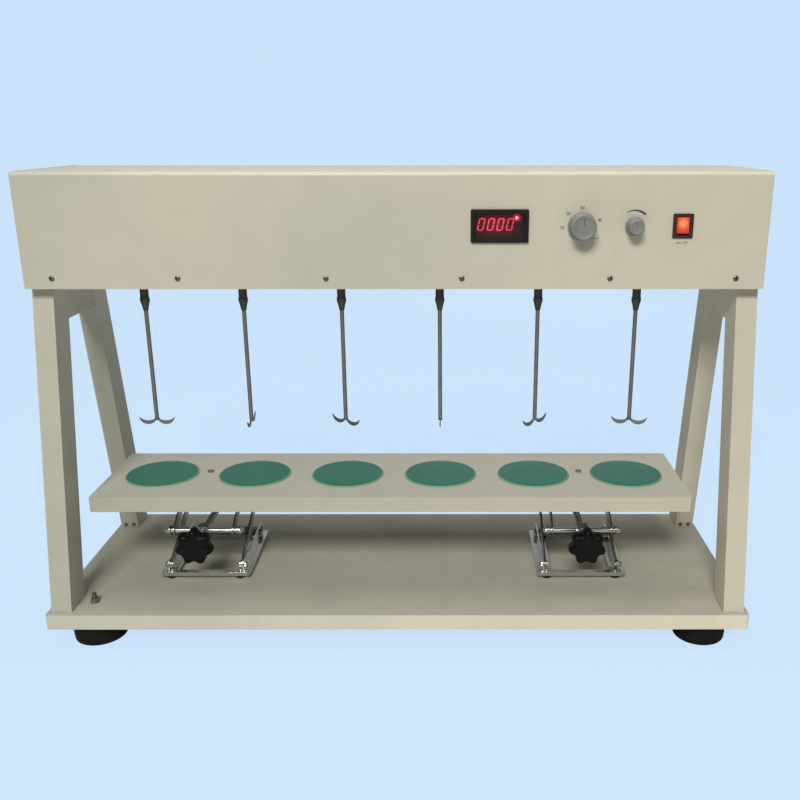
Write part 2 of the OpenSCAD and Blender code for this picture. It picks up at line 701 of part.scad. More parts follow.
// plates under the beaker platform; their ears hang down
module jack_top_plates() for (s = [-1, 1]) for_jack(s) color(steel) difference() {
    union() {
        translate([0, jack_mid_y, top_plate_z]) round_block(jack_w - 8, jack_d, jack_plate_t, 5);
        for (x = [-1, 1]) yz_plate(x > 0 ? ear_x : -ear_x - ear_t, ear_t)
            translate([0, 2 * top_pivot_z]) mirror([0, 1])
                ear_2d(2 * top_pivot_z - top_plate_z - 0.5, top_pivot_z + ear_rise);
    }
    yz_plate(-ear_x - ear_t - 1, 2 * (ear_x + ear_t + 1)) {
        slot_2d(slot_front_y, slot_end_y, top_pivot_z, cross_d + 2 * slack);
        translate([pivot_y - cross_d / 2 - 2 * run, top_pivot_z - cross_d / 2 - slack])
            square([cross_d + 4 * run, cross_d + 2 * slack]);
    }
    translate([0, jack_mid_y, top_plate_z - 1]) cylinder(d = plat_screw_d + 0.4, h = jack_plate_t + 2);
}

// flat bar with round ends and three bores
module arm_2d() difference() {
    union() {
        translate([0, -arm_w / 2]) square([arm_l, arm_w]);
        for (x = [0, arm_l]) translate([x, 0]) circle(d = arm_w);
    }
    for (x = [0, arm_l]) translate([x, 0]) circle(d = cross_d + 2 * run);
    translate([arm_l / 2, 0]) circle(d = rivet_d + 2 * run);
}

rivet_d = 6;

// a pair of arms at one distance from the jack's middle, starting at (y, z)
module arm_pair(plane, y, z, turn) for (x = [-1, 1])
    yz_plate(x > 0 ? plane : -plane - arm_t, arm_t) translate([y, z]) rotate(turn) arm_2d();

// rivets from a pair of arms inwards through the next pair
module rivets(plane, z) for (x = [-1, 1]) translate([0, (pivot_y + rear_y) / 2, z]) mirror([x > 0 ? 0 : 1, 0, 0]) {
    rod_x(rivet_d, plane - plane_step - 0.8, plane + arm_t);
    rod_x(rivet_d + 3, plane - plane_step - 1.1, plane - plane_step - gap);
    rod_x(rivet_d + 3, plane + arm_t - 0.01, plane + arm_t + 0.2);
}

module lower_arms_a(s) for_jack(s) color(steel) {
    arm_pair(plane_a, pivot_y, pivot_z, fold);
    rivets(plane_a, pivot_z + rise / 4);
}

// the rear cross rod slides in the ears with these arms
module lower_arms_b(s) for_jack(s) color(steel) {
    arm_pair(plane_b, rear_y, pivot_z, 180 - fold);
    translate([0, rear_y, pivot_z]) rod_with_heads();
}

module upper_arms_a(s) for_jack(s) color(steel) {
    arm_pair(plane_c, rear_y, mid_z, 180 - fold);
    rivets(plane_c, mid_z + rise / 4);
    translate([0, pivot_y, top_pivot_z]) rod_with_heads();
}

module upper_arms_b(s) for_jack(s) color(steel) {
    arm_pair(plane_d, pivot_y, mid_z, fold);
    translate([0, rear_y, top_pivot_z]) rod_with_heads();
}

// half outline of an acorn nut
module acorn_2d(r) {
    square([r, 1.5]);
    translate([0, 1.5]) intersection() {
        circle(r);
        square(r);
    }
}

// cross bar at half height with acorn ends and a block for the lead screw
module half_bar(y, reach, bore) translate([0, y, mid_z]) difference() {
    union() {
        rod_x(cross_d, -reach - 1, reach + 1);
        for (x = [-1, 1]) translate([x * (reach + gap), 0, 0]) rotate([0, x * 90, 0])
            rotate_extrude() acorn_2d(cross_d / 2 + 1);
        translate([-block / 2, -block / 2, -block / 2]) cube(block);
    }
    rod_y(bore, -block, block);
}

module front_bar(s) for_jack(s) color(steel) half_bar(pivot_y, plane_b + arm_t, screw_d + 2 * run);

module nut_bar(s) for_jack(s) color(steel) half_bar(rear_y, plane_a + arm_t, screw_d + 2 * run);

// lead screw with a collar on each side of the front block
module lead_screw(s) for_jack(s) color(steel) translate([0, 0, mid_z]) {
    rod_y(screw_d, knob_back_y + 5, screw_back_y);
    rod_y(8, knob_back_y - 11, knob_back_y + 6);
    for (c = [pivot_y - block / 2 - gap - 4, pivot_y + block / 2 + gap]) rod_y(screw_d + 6, c, c + 4);
}

// seven-lobed moulded knob, domed in front, with a hub behind
module star_knob(s) for_jack(s) color(black) translate([0, knob_back_y, mid_z]) difference() {
    union() {
        intersection() {
            rotate([90, 0, 0]) linear_extrude(star_t) star_2d();
            revolve_front(0) polygon([[0, 0], [star_d / 2 - 2, 0], [star_d / 2, 2], [star_d / 2, star_t - 6],
                [star_d / 2 - 2, star_t - 2.5], [star_d / 2 - 7, star_t], [0, star_t]]);
        }
        rod_y(18, -1, 5 - run);
    }
    rod_y(8 + 2 * run, -11.5, 10);
}

module star_2d() difference() {
    circle(star_d / 2);
    for (a = [0 : 6]) rotate(a * 360 / 7 + 12) translate([star_d / 2 + star_cut - 6.5, 0]) circle(star_cut);
}

star_cut = star_d / 5.4;                  // radius of the hollows between the lobes

// ---------------------------------------------------------------- stirrers
// slim collet chuck, widest where its nut is gripped, tapering to the rod
module chuck(i) color("#4a4a48") translate([station_x(i), 0, chuck_top - chuck_l]) difference() {
    rotate_extrude() polygon([[0, 0], [rod_d / 2 + 0.8, 0], [rod_d / 2 + 1.4, 6], [chuck_d / 2 - 2, 14],
        [chuck_d / 2, 20], [chuck_d / 2, 24], [chuck_d / 2 - 0.8, 27], [chuck_d / 2 - 0.8, chuck_l - 1],
        [chuck_d / 2 - 1.8, chuck_l], [0, chuck_l]]);
    translate([0, 0, -1]) cylinder(d = rod_d + 2 * run, h = chuck_l - stub_l + 2);
    translate([0, 0, chuck_l - stub_l - 0.5]) cylinder(d = stub_d + 2 * run, h = stub_l + 1);
    for (a = [0 : 30 : 330]) rotate(a) translate([chuck_d / 2 + 0.5, 0, 19]) cylinder(d = 1.8, h = 6);
}

// one crescent blade between two arcs through the same tips
function arc_r(sag) = (blade_l * blade_l / 4 + sag * sag) / (2 * sag);

blade_low = -6;                           // a blade's lowest point below its middle
rod_low = 0.5;                            // the rod ends above the blades' lowest point
low_r = arc_r(blade_rise);
high_r = arc_r(blade_rise - blade_w);

module blade_2d() difference() {
    translate([blade_l / 2, blade_low + low_r]) circle(low_r);
    translate([blade_l / 2, blade_low + blade_w + high_r]) circle(high_r);
}

// rod with two thin crescent blades welded to its end
module stirrer(i) color(steel) translate([station_x(i), 0, base_top + paddle_z]) rotate(blade_turns[i]) {
    translate([0, 0, rod_low]) cylinder(d = rod_d, h = chuck_top - stub_l - 4 - base_top - paddle_z - rod_low);
    for (s = [0, 1]) mirror([s, 0, 0]) xz_plate(blade_t / 2, blade_t) blade_2d();
}

base_tray();
rubber_feet();
side_frame(-1);  // left_side_frame
side_frame(1);  // right_side_frame
frame_screws();
head_cover();
head_chassis();
cover_screws();
bearing_housings();
motor();
motor_pulley();
drive_belts();
control_board();
display_meter();
display_window();
panel_controls();
timer_knob();
speed_knob();
switch_housing();
switch_rocker();
cord_gland();
platform_tray();
station_pads();
platform_screws();
jack_bases();
jack_top_plates();
for (i = [0 : stations - 1]) {
    spindle(i);
    chuck(i);
    stirrer(i);
}
for (side = [["left", -1], ["right", 1]]) {
    lower_arms_a(side[1]);
    lower_arms_b(side[1]);
    upper_arms_a(side[1]);
    upper_arms_b(side[1]);
    front_bar(side[1]);
    nut_bar(side[1]);
    lead_screw(side[1]);
    star_knob(side[1]);
}
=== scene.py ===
import json
import math

import bmesh
import bpy
import numpy as np
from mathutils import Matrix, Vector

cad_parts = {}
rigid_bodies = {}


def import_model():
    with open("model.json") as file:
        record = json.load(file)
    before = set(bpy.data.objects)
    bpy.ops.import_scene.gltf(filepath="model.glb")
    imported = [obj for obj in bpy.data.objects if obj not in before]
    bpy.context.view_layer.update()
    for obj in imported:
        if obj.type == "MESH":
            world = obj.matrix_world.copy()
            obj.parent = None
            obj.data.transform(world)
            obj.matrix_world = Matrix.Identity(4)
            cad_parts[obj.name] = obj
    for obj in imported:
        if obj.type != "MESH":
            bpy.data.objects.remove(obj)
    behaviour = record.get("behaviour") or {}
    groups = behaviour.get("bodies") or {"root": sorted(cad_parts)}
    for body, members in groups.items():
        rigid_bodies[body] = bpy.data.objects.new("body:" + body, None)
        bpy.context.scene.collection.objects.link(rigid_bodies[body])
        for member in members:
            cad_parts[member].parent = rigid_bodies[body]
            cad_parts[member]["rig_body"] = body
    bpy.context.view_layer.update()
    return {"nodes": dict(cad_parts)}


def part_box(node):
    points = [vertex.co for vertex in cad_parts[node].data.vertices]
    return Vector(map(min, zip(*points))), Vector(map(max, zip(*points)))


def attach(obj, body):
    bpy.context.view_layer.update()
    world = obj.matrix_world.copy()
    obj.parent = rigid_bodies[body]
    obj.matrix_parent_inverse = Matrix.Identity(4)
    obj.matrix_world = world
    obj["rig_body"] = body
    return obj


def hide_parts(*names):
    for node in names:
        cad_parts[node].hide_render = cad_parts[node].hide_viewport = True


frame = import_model()
cad = frame["nodes"]

# ---------------------------------------------------------------------------
# Camera: the photograph's viewpoint, in front of the panel and a little to the
# right, looking 17 degrees down. The object sits left of the optical axis.
scene = bpy.context.scene
scene.view_settings.view_transform = "Standard"
FRAME_PX = 800
FOCAL_PX = 882.2
AXIS_PX = 452.1
camera = bpy.data.objects.new("camera", bpy.data.cameras.new("camera"))
camera.data.sensor_width = 36
camera.data.lens = 36 * FOCAL_PX / FRAME_PX
camera.data.shift_x = (FRAME_PX / 2 - AXIS_PX) / FRAME_PX
camera.data.clip_start = 0.01
camera.location = (0.0743, -1.2440, 0.6957)
camera.rotation_euler = (math.radians(90 - 17.01), 0, math.radians(-0.06))
scene.collection.objects.link(camera)
scene.camera = camera

# ---------------------------------------------------------------------------
# Studio: a pale blue paper sweep under and behind the object, a broad lamp high in
# front and to the left, one overhead that the head shades, and a weak one behind.


def add_nodes(tree, **kinds):
    """One new node for each name=kind, returned in the order given."""
    made = []
    for name, kind in kinds.items():
        item = tree.nodes.new(kind)
        item.name = item.label = name
        made.append(item)
    return made


def new_material(name):
    """A material with its Principled shader; returns material, tree and shader."""
    material = bpy.data.materials.new(name)
    material.use_nodes = True
    tree = material.node_tree
    return material, tree, tree.nodes["Principled BSDF"]


def calc(tree, operation, first, second=0.0):
    """One arithmetic step on sockets or numbers."""
    item = tree.nodes.new("ShaderNodeMath")
    item.operation = operation
    for socket, value in ((item.inputs[0], first), (item.inputs[1], second)):
        if hasattr(value, "links"):
            tree.links.new(value, socket)
        else:
            socket.default_value = value
    return item.outputs[0]


def grid_faces(rows, cols, close_cols=False):
    """Four-cornered faces over a grid of rows x cols points, wrapped where asked."""
    r = np.arange(rows - 1)[:, None]
    c = np.arange(cols if close_cols else cols - 1)[None, :]
    c2 = (c + 1) % cols
    corners = np.broadcast_arrays(r * cols + c, (r + 1) * cols + c, (r + 1) * cols + c2, r * cols + c2)
    return np.stack(corners, -1).reshape(-1, 4)


def mesh_piece(name, points, faces, material, closed=True, angle=38.0):
    """A linked mesh made from points and corner numbers. Points that meet are
    merged, closed shells are turned outwards, and edges past angle stay sharp."""
    mesh = bpy.data.meshes.new(name)
    corners = [list(map(int, face)) for face in faces]
    mesh.from_pydata(np.asarray(points, float).reshape(-1, 3).tolist(), [], corners)
    if closed:
        shape = bmesh.new()
        shape.from_mesh(mesh)
        bmesh.ops.remove_doubles(shape, verts=shape.verts, dist=1e-6)
        bmesh.ops.recalc_face_normals(shape, faces=shape.faces)
        shape.to_mesh(mesh)
        shape.free()
    mesh.shade_smooth()
    mesh.set_sharp_from_angle(angle=math.radians(angle))
    mesh.materials.append(material)
    piece = bpy.data.objects.new(name, mesh)
    scene.collection.objects.link(piece)
    return piece


PAPER_SEEN = (0.625, 0.82, 1.03, 1)
PAPER_PLAIN = 0.89  # share of the paper's colour that no shadow reaches
floor_material, floor_tree, floor_shader = new_material("studio_paper")
floor_shader.inputs["Base Color"].default_value = (0.62, 0.64, 0.65, 1)
floor_shader.inputs["Roughness"].default_value = 0.9
ray, paper_glow, paper_mix = add_nodes(
    floor_tree, ray="ShaderNodeLightPath", paper_glow="ShaderNodeEmission", paper_mix="ShaderNodeMixShader")
paper_glow.inputs["Color"].default_value = PAPER_SEEN
plain_share = calc(floor_tree, "MULTIPLY", ray.outputs["Is Camera Ray"], PAPER_PLAIN)
floor_tree.links.new(plain_share, paper_mix.inputs[0])
floor_tree.links.new(floor_shader.outputs[0], paper_mix.inputs[1])
floor_tree.links.new(paper_glow.outputs[0], paper_mix.inputs[2])
floor_tree.links.new(paper_mix.outputs[0], floor_tree.nodes["Material Output"].inputs["Surface"])

SWEEP_X, SWEEP_FRONT, SWEEP_BACK, SWEEP_R, SWEEP_TOP = 9.0, -9.0, 2.2, 1.4, 5.0
bend = np.linspace(0, math.pi / 2, 24)
sweep_y = np.concatenate([[SWEEP_FRONT], SWEEP_BACK + SWEEP_R * np.sin(bend), [SWEEP_BACK + SWEEP_R]])
sweep_z = np.concatenate([[0], SWEEP_R * (1 - np.cos(bend)), [SWEEP_TOP]])
sweep_x = np.array([SWEEP_X, -SWEEP_X])
sweep_points = np.stack(np.broadcast_arrays(sweep_x[:, None], sweep_y[None, :], sweep_z[None, :]), -1)
floor = mesh_piece("studio_floor", sweep_points, grid_faces(2, len(sweep_y)), floor_material, closed=False)

world = bpy.data.worlds.new("studio_world")
scene.world = world
world.use_nodes = True
sky = world.node_tree
room_light = sky.nodes["Background"]
room_light.inputs["Color"].default_value = (1.0, 1.0, 0.98, 1)
room_light.inputs["Strength"].default_value = 0.14
sky_ray, sky_seen, sky_mix = add_nodes(
    sky, sky_ray="ShaderNodeLightPath", sky_seen="ShaderNodeBackground", sky_mix="ShaderNodeMixShader")
sky_seen.inputs["Color"].default_value = PAPER_SEEN
sky.links.new(sky_ray.outputs["Is Camera Ray"], sky_mix.inputs[0])
sky.links.new(room_light.outputs[0], sky_mix.inputs[1])
sky.links.new(sky_seen.outputs[0], sky_mix.inputs[2])
sky.links.new(sky_mix.outputs[0], sky.nodes["World Output"].inputs["Surface"])


def lamp(name, place, aim, size, power, tint=(1, 1, 1)):
    """A rectangular area lamp at place, turned to face aim."""
    light = bpy.data.lights.new(name, "AREA")
    light.shape = "RECTANGLE"
    light.size, light.size_y = size
    light.energy = power
    light.color = tint
    item = bpy.data.objects.new(name, light)
    item.location = place
    direction = np.array(aim, float) - np.array(place, float)
    direction /= np.linalg.norm(direction)
    item.rotation_euler = (math.acos(-direction[2]), 0, math.atan2(direction[0], -direction[1]) + math.pi)
    scene.collection.objects.link(item)


lamp("lamp_front", (-0.7, -4.5, 4.1), (0, 0, 0.3), (2.0, 1.3), 268, (1, 0.985, 0.96))
lamp("lamp_above", (0.0, 0.0, 1.9), (0, 0, 0.6), (1.7, 0.3), 13)
lamp("lamp_back", (0.5, 2.6, 0.40), (0, 0, 0.35), (1.2, 0.4), 2.5)

# ---------------------------------------------------------------------------
# Base tray: folded steel sheet in cream enamel, its corners welded and rounded
# over. The enamel is sprayed and baked, with a fine ripple. Its tone is painted
# light: darker and cooler at the -X end, lighter and warmer at the +X end. Faces
# that look up get a layer that is dust on the frames and motor, painted light on
# the head's and platform's tops and painted shade on the base's top.


def group_tree(name, inputs, outputs):
    """An empty shader node group with the named sockets."""
    tree = bpy.data.node_groups.new(name, "ShaderNodeTree")
    for label, kind, value in inputs:
        socket = tree.interface.new_socket(name=label, in_out="INPUT", socket_type=kind)
        socket.default_value = value
    for label, kind in outputs:
        tree.interface.new_socket(name=label, in_out="OUTPUT", socket_type=kind)
    return tree


COLOR, FLOAT = "NodeSocketColor", "NodeSocketFloat"


def blend(tree, factor, low, high):
    """A colour mix of low and high by factor; each may be a socket or a value."""
    mix = tree.nodes.new("ShaderNodeMix")
    mix.data_type = "RGBA"
    for socket, value in ((mix.inputs[0], factor), (mix.inputs[6], low), (mix.inputs[7], high)):
        if hasattr(value, "links"):
            tree.links.new(value, socket)
        else:
            socket.default_value = value
    return mix.outputs[2]


def remap(tree, value, low, high, to_low=0.0, to_high=1.0):
    """value taken from low..high to to_low..to_high, held at the ends."""
    item = tree.nodes.new("ShaderNodeMapRange")
    tree.links.new(value, item.inputs["Value"])
    for label, number in (("From Min", low), ("From Max", high), ("To Min", to_low), ("To Max", to_high)):
        item.inputs[label].default_value = number
    return item.outputs["Result"]


def noise(tree, where, scale, detail=2.0, roughness=0.5):
    """Noise read at where; scale counts features per metre."""
    item = tree.nodes.new("ShaderNodeTexNoise")
    tree.links.new(where, item.inputs["Vector"])
    item.inputs["Scale"].default_value = scale
    item.inputs["Detail"].default_value = detail
    item.inputs["Roughness"].default_value = roughness
    return item.outputs["Fac"]


def sprayed_enamel_group():
    """Colour, roughness and height of sprayed enamel. The coat's tone is painted
    light, drifting from darker and cooler at the -X end to lighter and warmer at
    the +X end, with faint specks and a ripple like orange skin. Faces that look up
    get a layer that is dust on some materials, painted light on others and
    painted shade on the base."""
    tree = group_tree("sprayed_enamel",
                      [("Paint", COLOR, (0.6, 0.57, 0.47, 1)), ("Lit_end_paint", COLOR, (0.64, 0.57, 0.45, 1)),
                       ("Top dust and painted light", COLOR, (0.46, 0.43, 0.36, 1)), ("Top dust and painted light share", FLOAT, 0.3), ("Gloss", FLOAT, 0.42)],
                      [("Color", COLOR), ("Roughness", FLOAT), ("Height", FLOAT)])
    given, result, place, surface = add_nodes(
        tree, given="NodeGroupInput", result="NodeGroupOutput", place="ShaderNodeTexCoord",
        surface="ShaderNodeNewGeometry")
    where = place.outputs["Object"]
    along = tree.nodes.new("ShaderNodeSeparateXYZ")
    tree.links.new(where, along.inputs[0])
    # Painted light: the tone runs from the shaded -X end to the lit +X end.
    painted_light_drift = remap(tree, along.outputs["X"], -0.5, 0.5, 0.05, 0.75)
    cloud = remap(tree, noise(tree, where, 2.6, 3), 0.35, 0.65, -0.12, 0.25)
    tone = blend(tree, calc(tree, "ADD", painted_light_drift, cloud), given.outputs["Paint"], given.outputs["Lit_end_paint"])
    mottle = remap(tree, noise(tree, where, 22, 4, 0.6), 0.3, 0.75, 0.965, 1.02)
    specks = remap(tree, noise(tree, where, 420, 2, 0.7), 0.70, 0.76, 1.0, 0.86)
    shade = calc(tree, "MULTIPLY", mottle, specks)
    scaled = tree.nodes.new("ShaderNodeVectorMath")
    scaled.operation = "SCALE"
    tree.links.new(tone, scaled.inputs[0])
    tree.links.new(shade, scaled.inputs["Scale"])
    facing = tree.nodes.new("ShaderNodeSeparateXYZ")
    tree.links.new(surface.outputs["Normal"], facing.inputs[0])
    # Faces that look up get a layer of the colour given: dust on the frames and motor, painted light on the
    # head's and platform's tops, painted shade on the base's top.
    up = remap(tree, facing.outputs["Z"], 0.96, 0.998)
    top_dust_and_painted_light = remap(tree, noise(tree, where, 14, 5, 0.65), 0.30, 0.70, 0.75, 1.0)
    top_dust_and_painted_light_share = calc(tree, "MULTIPLY", calc(tree, "MULTIPLY", up, top_dust_and_painted_light), given.outputs["Top dust and painted light share"])
    tree.links.new(blend(tree, top_dust_and_painted_light_share, scaled.outputs[0], given.outputs["Top dust and painted light"]), result.inputs["Color"])
    smear = remap(tree, noise(tree, where, 9, 4), 0.3, 0.7, -0.04, 0.06)
    rough = calc(tree, "ADD", given.outputs["Gloss"], smear)
    tree.links.new(calc(tree, "ADD", rough, calc(tree, "MULTIPLY", top_dust_and_painted_light_share, 0.5)), result.inputs["Roughness"])
    tree.links.new(noise(tree, where, 330, 1.5, 0.4), result.inputs["Height"])
    return tree


ENAMEL = sprayed_enamel_group()


def bump(tree, shader, height, strength, distance):
    """Feeds the shader's normal with the given height."""
    item = tree.nodes.new("ShaderNodeBump")
    item.inputs["Strength"].default_value = strength
    item.inputs["Distance"].default_value = distance
    tree.links.new(height, item.inputs["Height"])
    tree.links.new(item.outputs["Normal"], shader.inputs["Normal"])


def surfaced(name, group, values, metallic=0.0, coat=0.0, strength=0.2, depth=0.0002, specular=0.5):
    """A material whose colour, roughness and height come from one group."""
    material, tree, shader = new_material(name)
    source = tree.nodes.new("ShaderNodeGroup")
    source.node_tree = group
    for label, value in values.items():
        source.inputs[label].default_value = value
    tree.links.new(source.outputs["Color"], shader.inputs["Base Color"])
    tree.links.new(source.outputs["Roughness"], shader.inputs["Roughness"])
    bump(tree, shader, source.outputs["Height"], strength, depth)
    shader.inputs["Metallic"].default_value = metallic
    shader.inputs["Coat Weight"].default_value = coat
    shader.inputs["Coat Roughness"].default_value = 0.12
    shader.inputs["Specular IOR Level"].default_value = specular
    return material


def fitted(piece, node, stands_for=True):
    """The piece rides with a CAD node and, if asked, replaces it."""
    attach(piece, cad[node]["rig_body"])
    if stands_for:
        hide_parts(node)
    return piece


def softened(node, width, material, angle=38.0, segments=2):
    """A copy of a CAD node with its loose triangles merged, its flat faces made
    whole and its sharp edges rounded by up to width metres; it replaces the node."""
    mesh = cad[node].data.copy()
    shape = bmesh.new()
    shape.from_mesh(mesh)
    bmesh.ops.remove_doubles(shape, verts=shape.verts, dist=2e-6)
    bmesh.ops.dissolve_limit(shape, angle_limit=math.radians(0.8), verts=shape.verts, edges=shape.edges)
    shape.to_mesh(mesh)
    shape.free()
    mesh.materials.clear()
    mesh.materials.append(material)
    for layer in [a.name for a in mesh.attributes if a.name == "custom_normal"]:
        mesh.attributes.remove(mesh.attributes[layer])
    mesh.shade_smooth()
    mesh.set_sharp_from_angle(angle=math.radians(angle))
    piece = bpy.data.objects.new(node + "_finished", mesh)
    scene.collection.objects.link(piece)
    edges = piece.modifiers.new("rounded_edges", "BEVEL")
    edges.width = width
    edges.segments = segments
    edges.limit_method = "ANGLE"
    edges.angle_limit = math.radians(angle)
    edges.use_clamp_overlap = True
    edges.harden_normals = True
    return fitted(piece, node)


def overlaid(piece, node):
    """A piece laid over a CAD node: it rides with the node but doesn't replace it."""
    return fitted(piece, node, stands_for=False)


# The cream's two ends: painted shade darkens and cools the -X end, painted light lightens and warms the +X
# end.
SHADED_END_CREAM = np.array([0.450, 0.442, 0.356])
LIT_END_CREAM = np.array([0.625, 0.575, 0.448])
OLD_DUST = (0.46, 0.43, 0.36)


def cream(name, shade, top_dust_and_painted_light, top_dust_and_painted_light_share):
    """The cream enamel, lighter or darker by a factor (lit and shaded copies of one paint: painted light and
    shade), with a top layer of dust and painted light on faces that look up.
    """
    shaded_and_lit_ends = {"Paint": (*(shade * SHADED_END_CREAM), 1), "Lit_end_paint": (*(shade * LIT_END_CREAM), 1)}
    return surfaced(name, ENAMEL, {**shaded_and_lit_ends, "Top dust and painted light": (*top_dust_and_painted_light, 1), "Top dust and painted light share": top_dust_and_painted_light_share}, coat=0.12)


# The head's top layer is paler than its paint: painted light on the head's top.
cream_enamel = cream("cream_enamel", 1.04, (0.58, 0.55, 0.50), 0.25)
# The base's paint is a lighter copy of the head's, painted light on its front lip; its dark top layer is
# painted shade on the base's top.
softened("base_tray", 0.0016, cream("base_enamel_painted_light_and_shade", 1.26, (0.34, 0.33, 0.275), 0.80), segments=3)

# ---------------------------------------------------------------------------
# Rubber feet: four big round ones, moulded with three grip rings and a recess
# for the bolt's head, and the small pads that each jack's base stands on.
UP = np.eye(3)
FRONT = np.array([[1.0, 0, 0], [0, 0, -1.0], [0, 1.0, 0]])
BACK = np.array([[-1.0, 0, 0], [0, 0, 1.0], [0, 1.0, 0]])


def spun(outline, sides=64, waves=None):
    """Points and faces of an outline of (distance, height) pairs turned round Z:
    point (i, j) is (d cos a, d sin a, h) at a = 2 pi j / sides. waves(a, h) is a
    factor on the distance, for flutes."""
    outline = np.asarray(outline, float)
    a = np.linspace(0, 2 * math.pi, sides, endpoint=False)[None]
    reach = outline[:, :1] * (np.ones((1, sides)) if waves is None else waves(a, outline[:, 1:]))
    height = np.broadcast_to(outline[:, 1:], reach.shape)
    points = np.stack([reach * np.cos(a), reach * np.sin(a), height], -1)
    return points.reshape(-1, 3), grid_faces(len(outline), sides, close_cols=True)


def copies(shape, turn, places):
    """The same points and faces at several places: turn times point, plus place."""
    points, faces = shape[0], np.array(shape[1])
    places = np.asarray(places, float).reshape(-1, 3)
    moved = (points @ np.asarray(turn).T)[None] + places[:, None]
    shifted = faces[None] + (np.arange(len(places)) * len(points))[:, None, None]
    return moved.reshape(-1, 3), shifted.reshape(-1, faces.shape[1])


def joined(*shapes):
    """Several shapes as one; their faces may have any number of corners."""
    starts = np.cumsum([0] + [len(points) for points, _ in shapes])
    faces = [np.array(face) + start for (_, rows), start in zip(shapes, starts) for face in rows]
    return np.concatenate([points for points, _ in shapes]), faces


def moulded_group():
    """Colour, roughness and height of moulded plastic or rubber: a fine matt
    grain with cloudy tone and pale rub marks."""
    tree = group_tree("moulded_surface",
                      [("Body", COLOR, (0.02, 0.02, 0.02, 1)), ("Worn", COLOR, (0.06, 0.06, 0.06, 1)),
                       ("Matt", FLOAT, 0.5)],
                      [("Color", COLOR), ("Roughness", FLOAT), ("Height", FLOAT)])
    given, result, place = add_nodes(tree, given="NodeGroupInput", result="NodeGroupOutput",
                                     place="ShaderNodeTexCoord")
    where = place.outputs["Object"]
    rubbed = remap(tree, noise(tree, where, 60, 5, 0.7), 0.48, 0.75)
    tree.links.new(blend(tree, rubbed, given.outputs["Body"], given.outputs["Worn"]), result.inputs["Color"])
    tree.links.new(calc(tree, "ADD", given.outputs["Matt"], calc(tree, "MULTIPLY", rubbed, 0.18)),
                   result.inputs["Roughness"])
    tree.links.new(noise(tree, where, 1400, 1.0, 0.5), result.inputs["Height"])
    return tree


MOULDED = moulded_group()


def moulded(name, body, worn, matt, **finish):
    """A plastic, rubber or ink from the moulded-surface group."""
    return surfaced(name, MOULDED, {"Body": (*body, 1), "Worn": (*worn, 1), "Matt": matt}, **finish)


def middle(node):
    """The middle of a CAD node's box."""
    low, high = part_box(node)
    return [(a + b) / 2 for a, b in zip(low, high)]


black_rubber = moulded("black_rubber", (0.0045, 0.0048, 0.0035), (0.012, 0.012, 0.010), 0.66, specular=0.2)
base_low, base_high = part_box("base_tray")
FOOT_TOP_R, FOOT_LOW_R = 0.038, 0.036
FOOT_IN_X, FOOT_IN_Y = 0.055, 0.048  # a foot's centre from the end and from the front
RING_CUT, RINGS = 0.0006, 3
foot_h = base_low[2]
ring_h = np.linspace(0.008, foot_h - 0.006, 61)
ring_turn = 2 * RINGS * math.pi * (ring_h - ring_h[0]) / (ring_h[-1] - ring_h[0])
ring_r = FOOT_LOW_R + (FOOT_TOP_R - FOOT_LOW_R) * ring_h / foot_h
ring_r -= RING_CUT * (0.5 - 0.5 * np.cos(ring_turn)) ** 6
RECESS_R, RECESS_UP = 0.012, 0.012
foot_outline = np.concatenate([
    [(0, RECESS_UP), (RECESS_R - 0.0005, RECESS_UP), (RECESS_R, RECESS_UP - 0.0005), (RECESS_R, 0.0006),
     (RECESS_R + 0.0006, 0)],
    [(FOOT_LOW_R - 0.002, 0), (FOOT_LOW_R - 0.0006, 0.0006), (FOOT_LOW_R, 0.002)],
    np.stack([ring_r, ring_h], 1),
    [(FOOT_TOP_R, foot_h - 0.0005), (FOOT_TOP_R - 0.0005, foot_h), (0, foot_h)]])
foot_x = base_high[0] - FOOT_IN_X
foot_y = base_high[1] - FOOT_IN_Y
corners = [(sx * foot_x, sy * foot_y, 0) for sx in (-1, 1) for sy in (-1, 1)]
row_x = middle("platform_tray")[0]
PITCH = 0.140
JACK_X = {"left": row_x - 2 * PITCH, "right": row_x + 2 * PITCH}
base_top = base_high[2]
pad_outline = [(0, 0), (0.0061, 0), (0.0065, 0.0004), (0.0059, 0.0037), (0.0055, 0.004), (0, 0.004)]
FRONT_PAD, BACK_PAD = (0.051, -0.0565), (0.0445, 0.0765)  # from the jack's middle, and in depth
pad_places = [(x + side * reach, y, base_top) for x in JACK_X.values() for side in (-1, 1)
              for reach, y in (FRONT_PAD, BACK_PAD)]
feet = joined(copies(spun(foot_outline, 96), UP, corners), copies(spun(pad_outline, 32), UP, pad_places))
fitted(mesh_piece("rubber_feet_moulded", *feet, black_rubber), "rubber_feet")

# ---------------------------------------------------------------------------
# Side frames: folded box legs leaning together, welded to a box under the head
# and ground smooth; a thin dark bead round each leg's ends is painted shade in
# the joint where the leg meets the base and the head.
# The frames' paint is a slightly darker copy of the head's: painted shade. OLD_DUST lies on their tops as
# dust.
frame_enamel = cream("frame_enamel", 1.0, OLD_DUST, 0.25)
for side in ("left", "right"):
    softened(side + "_side_frame", 0.0018, frame_enamel, segments=3)


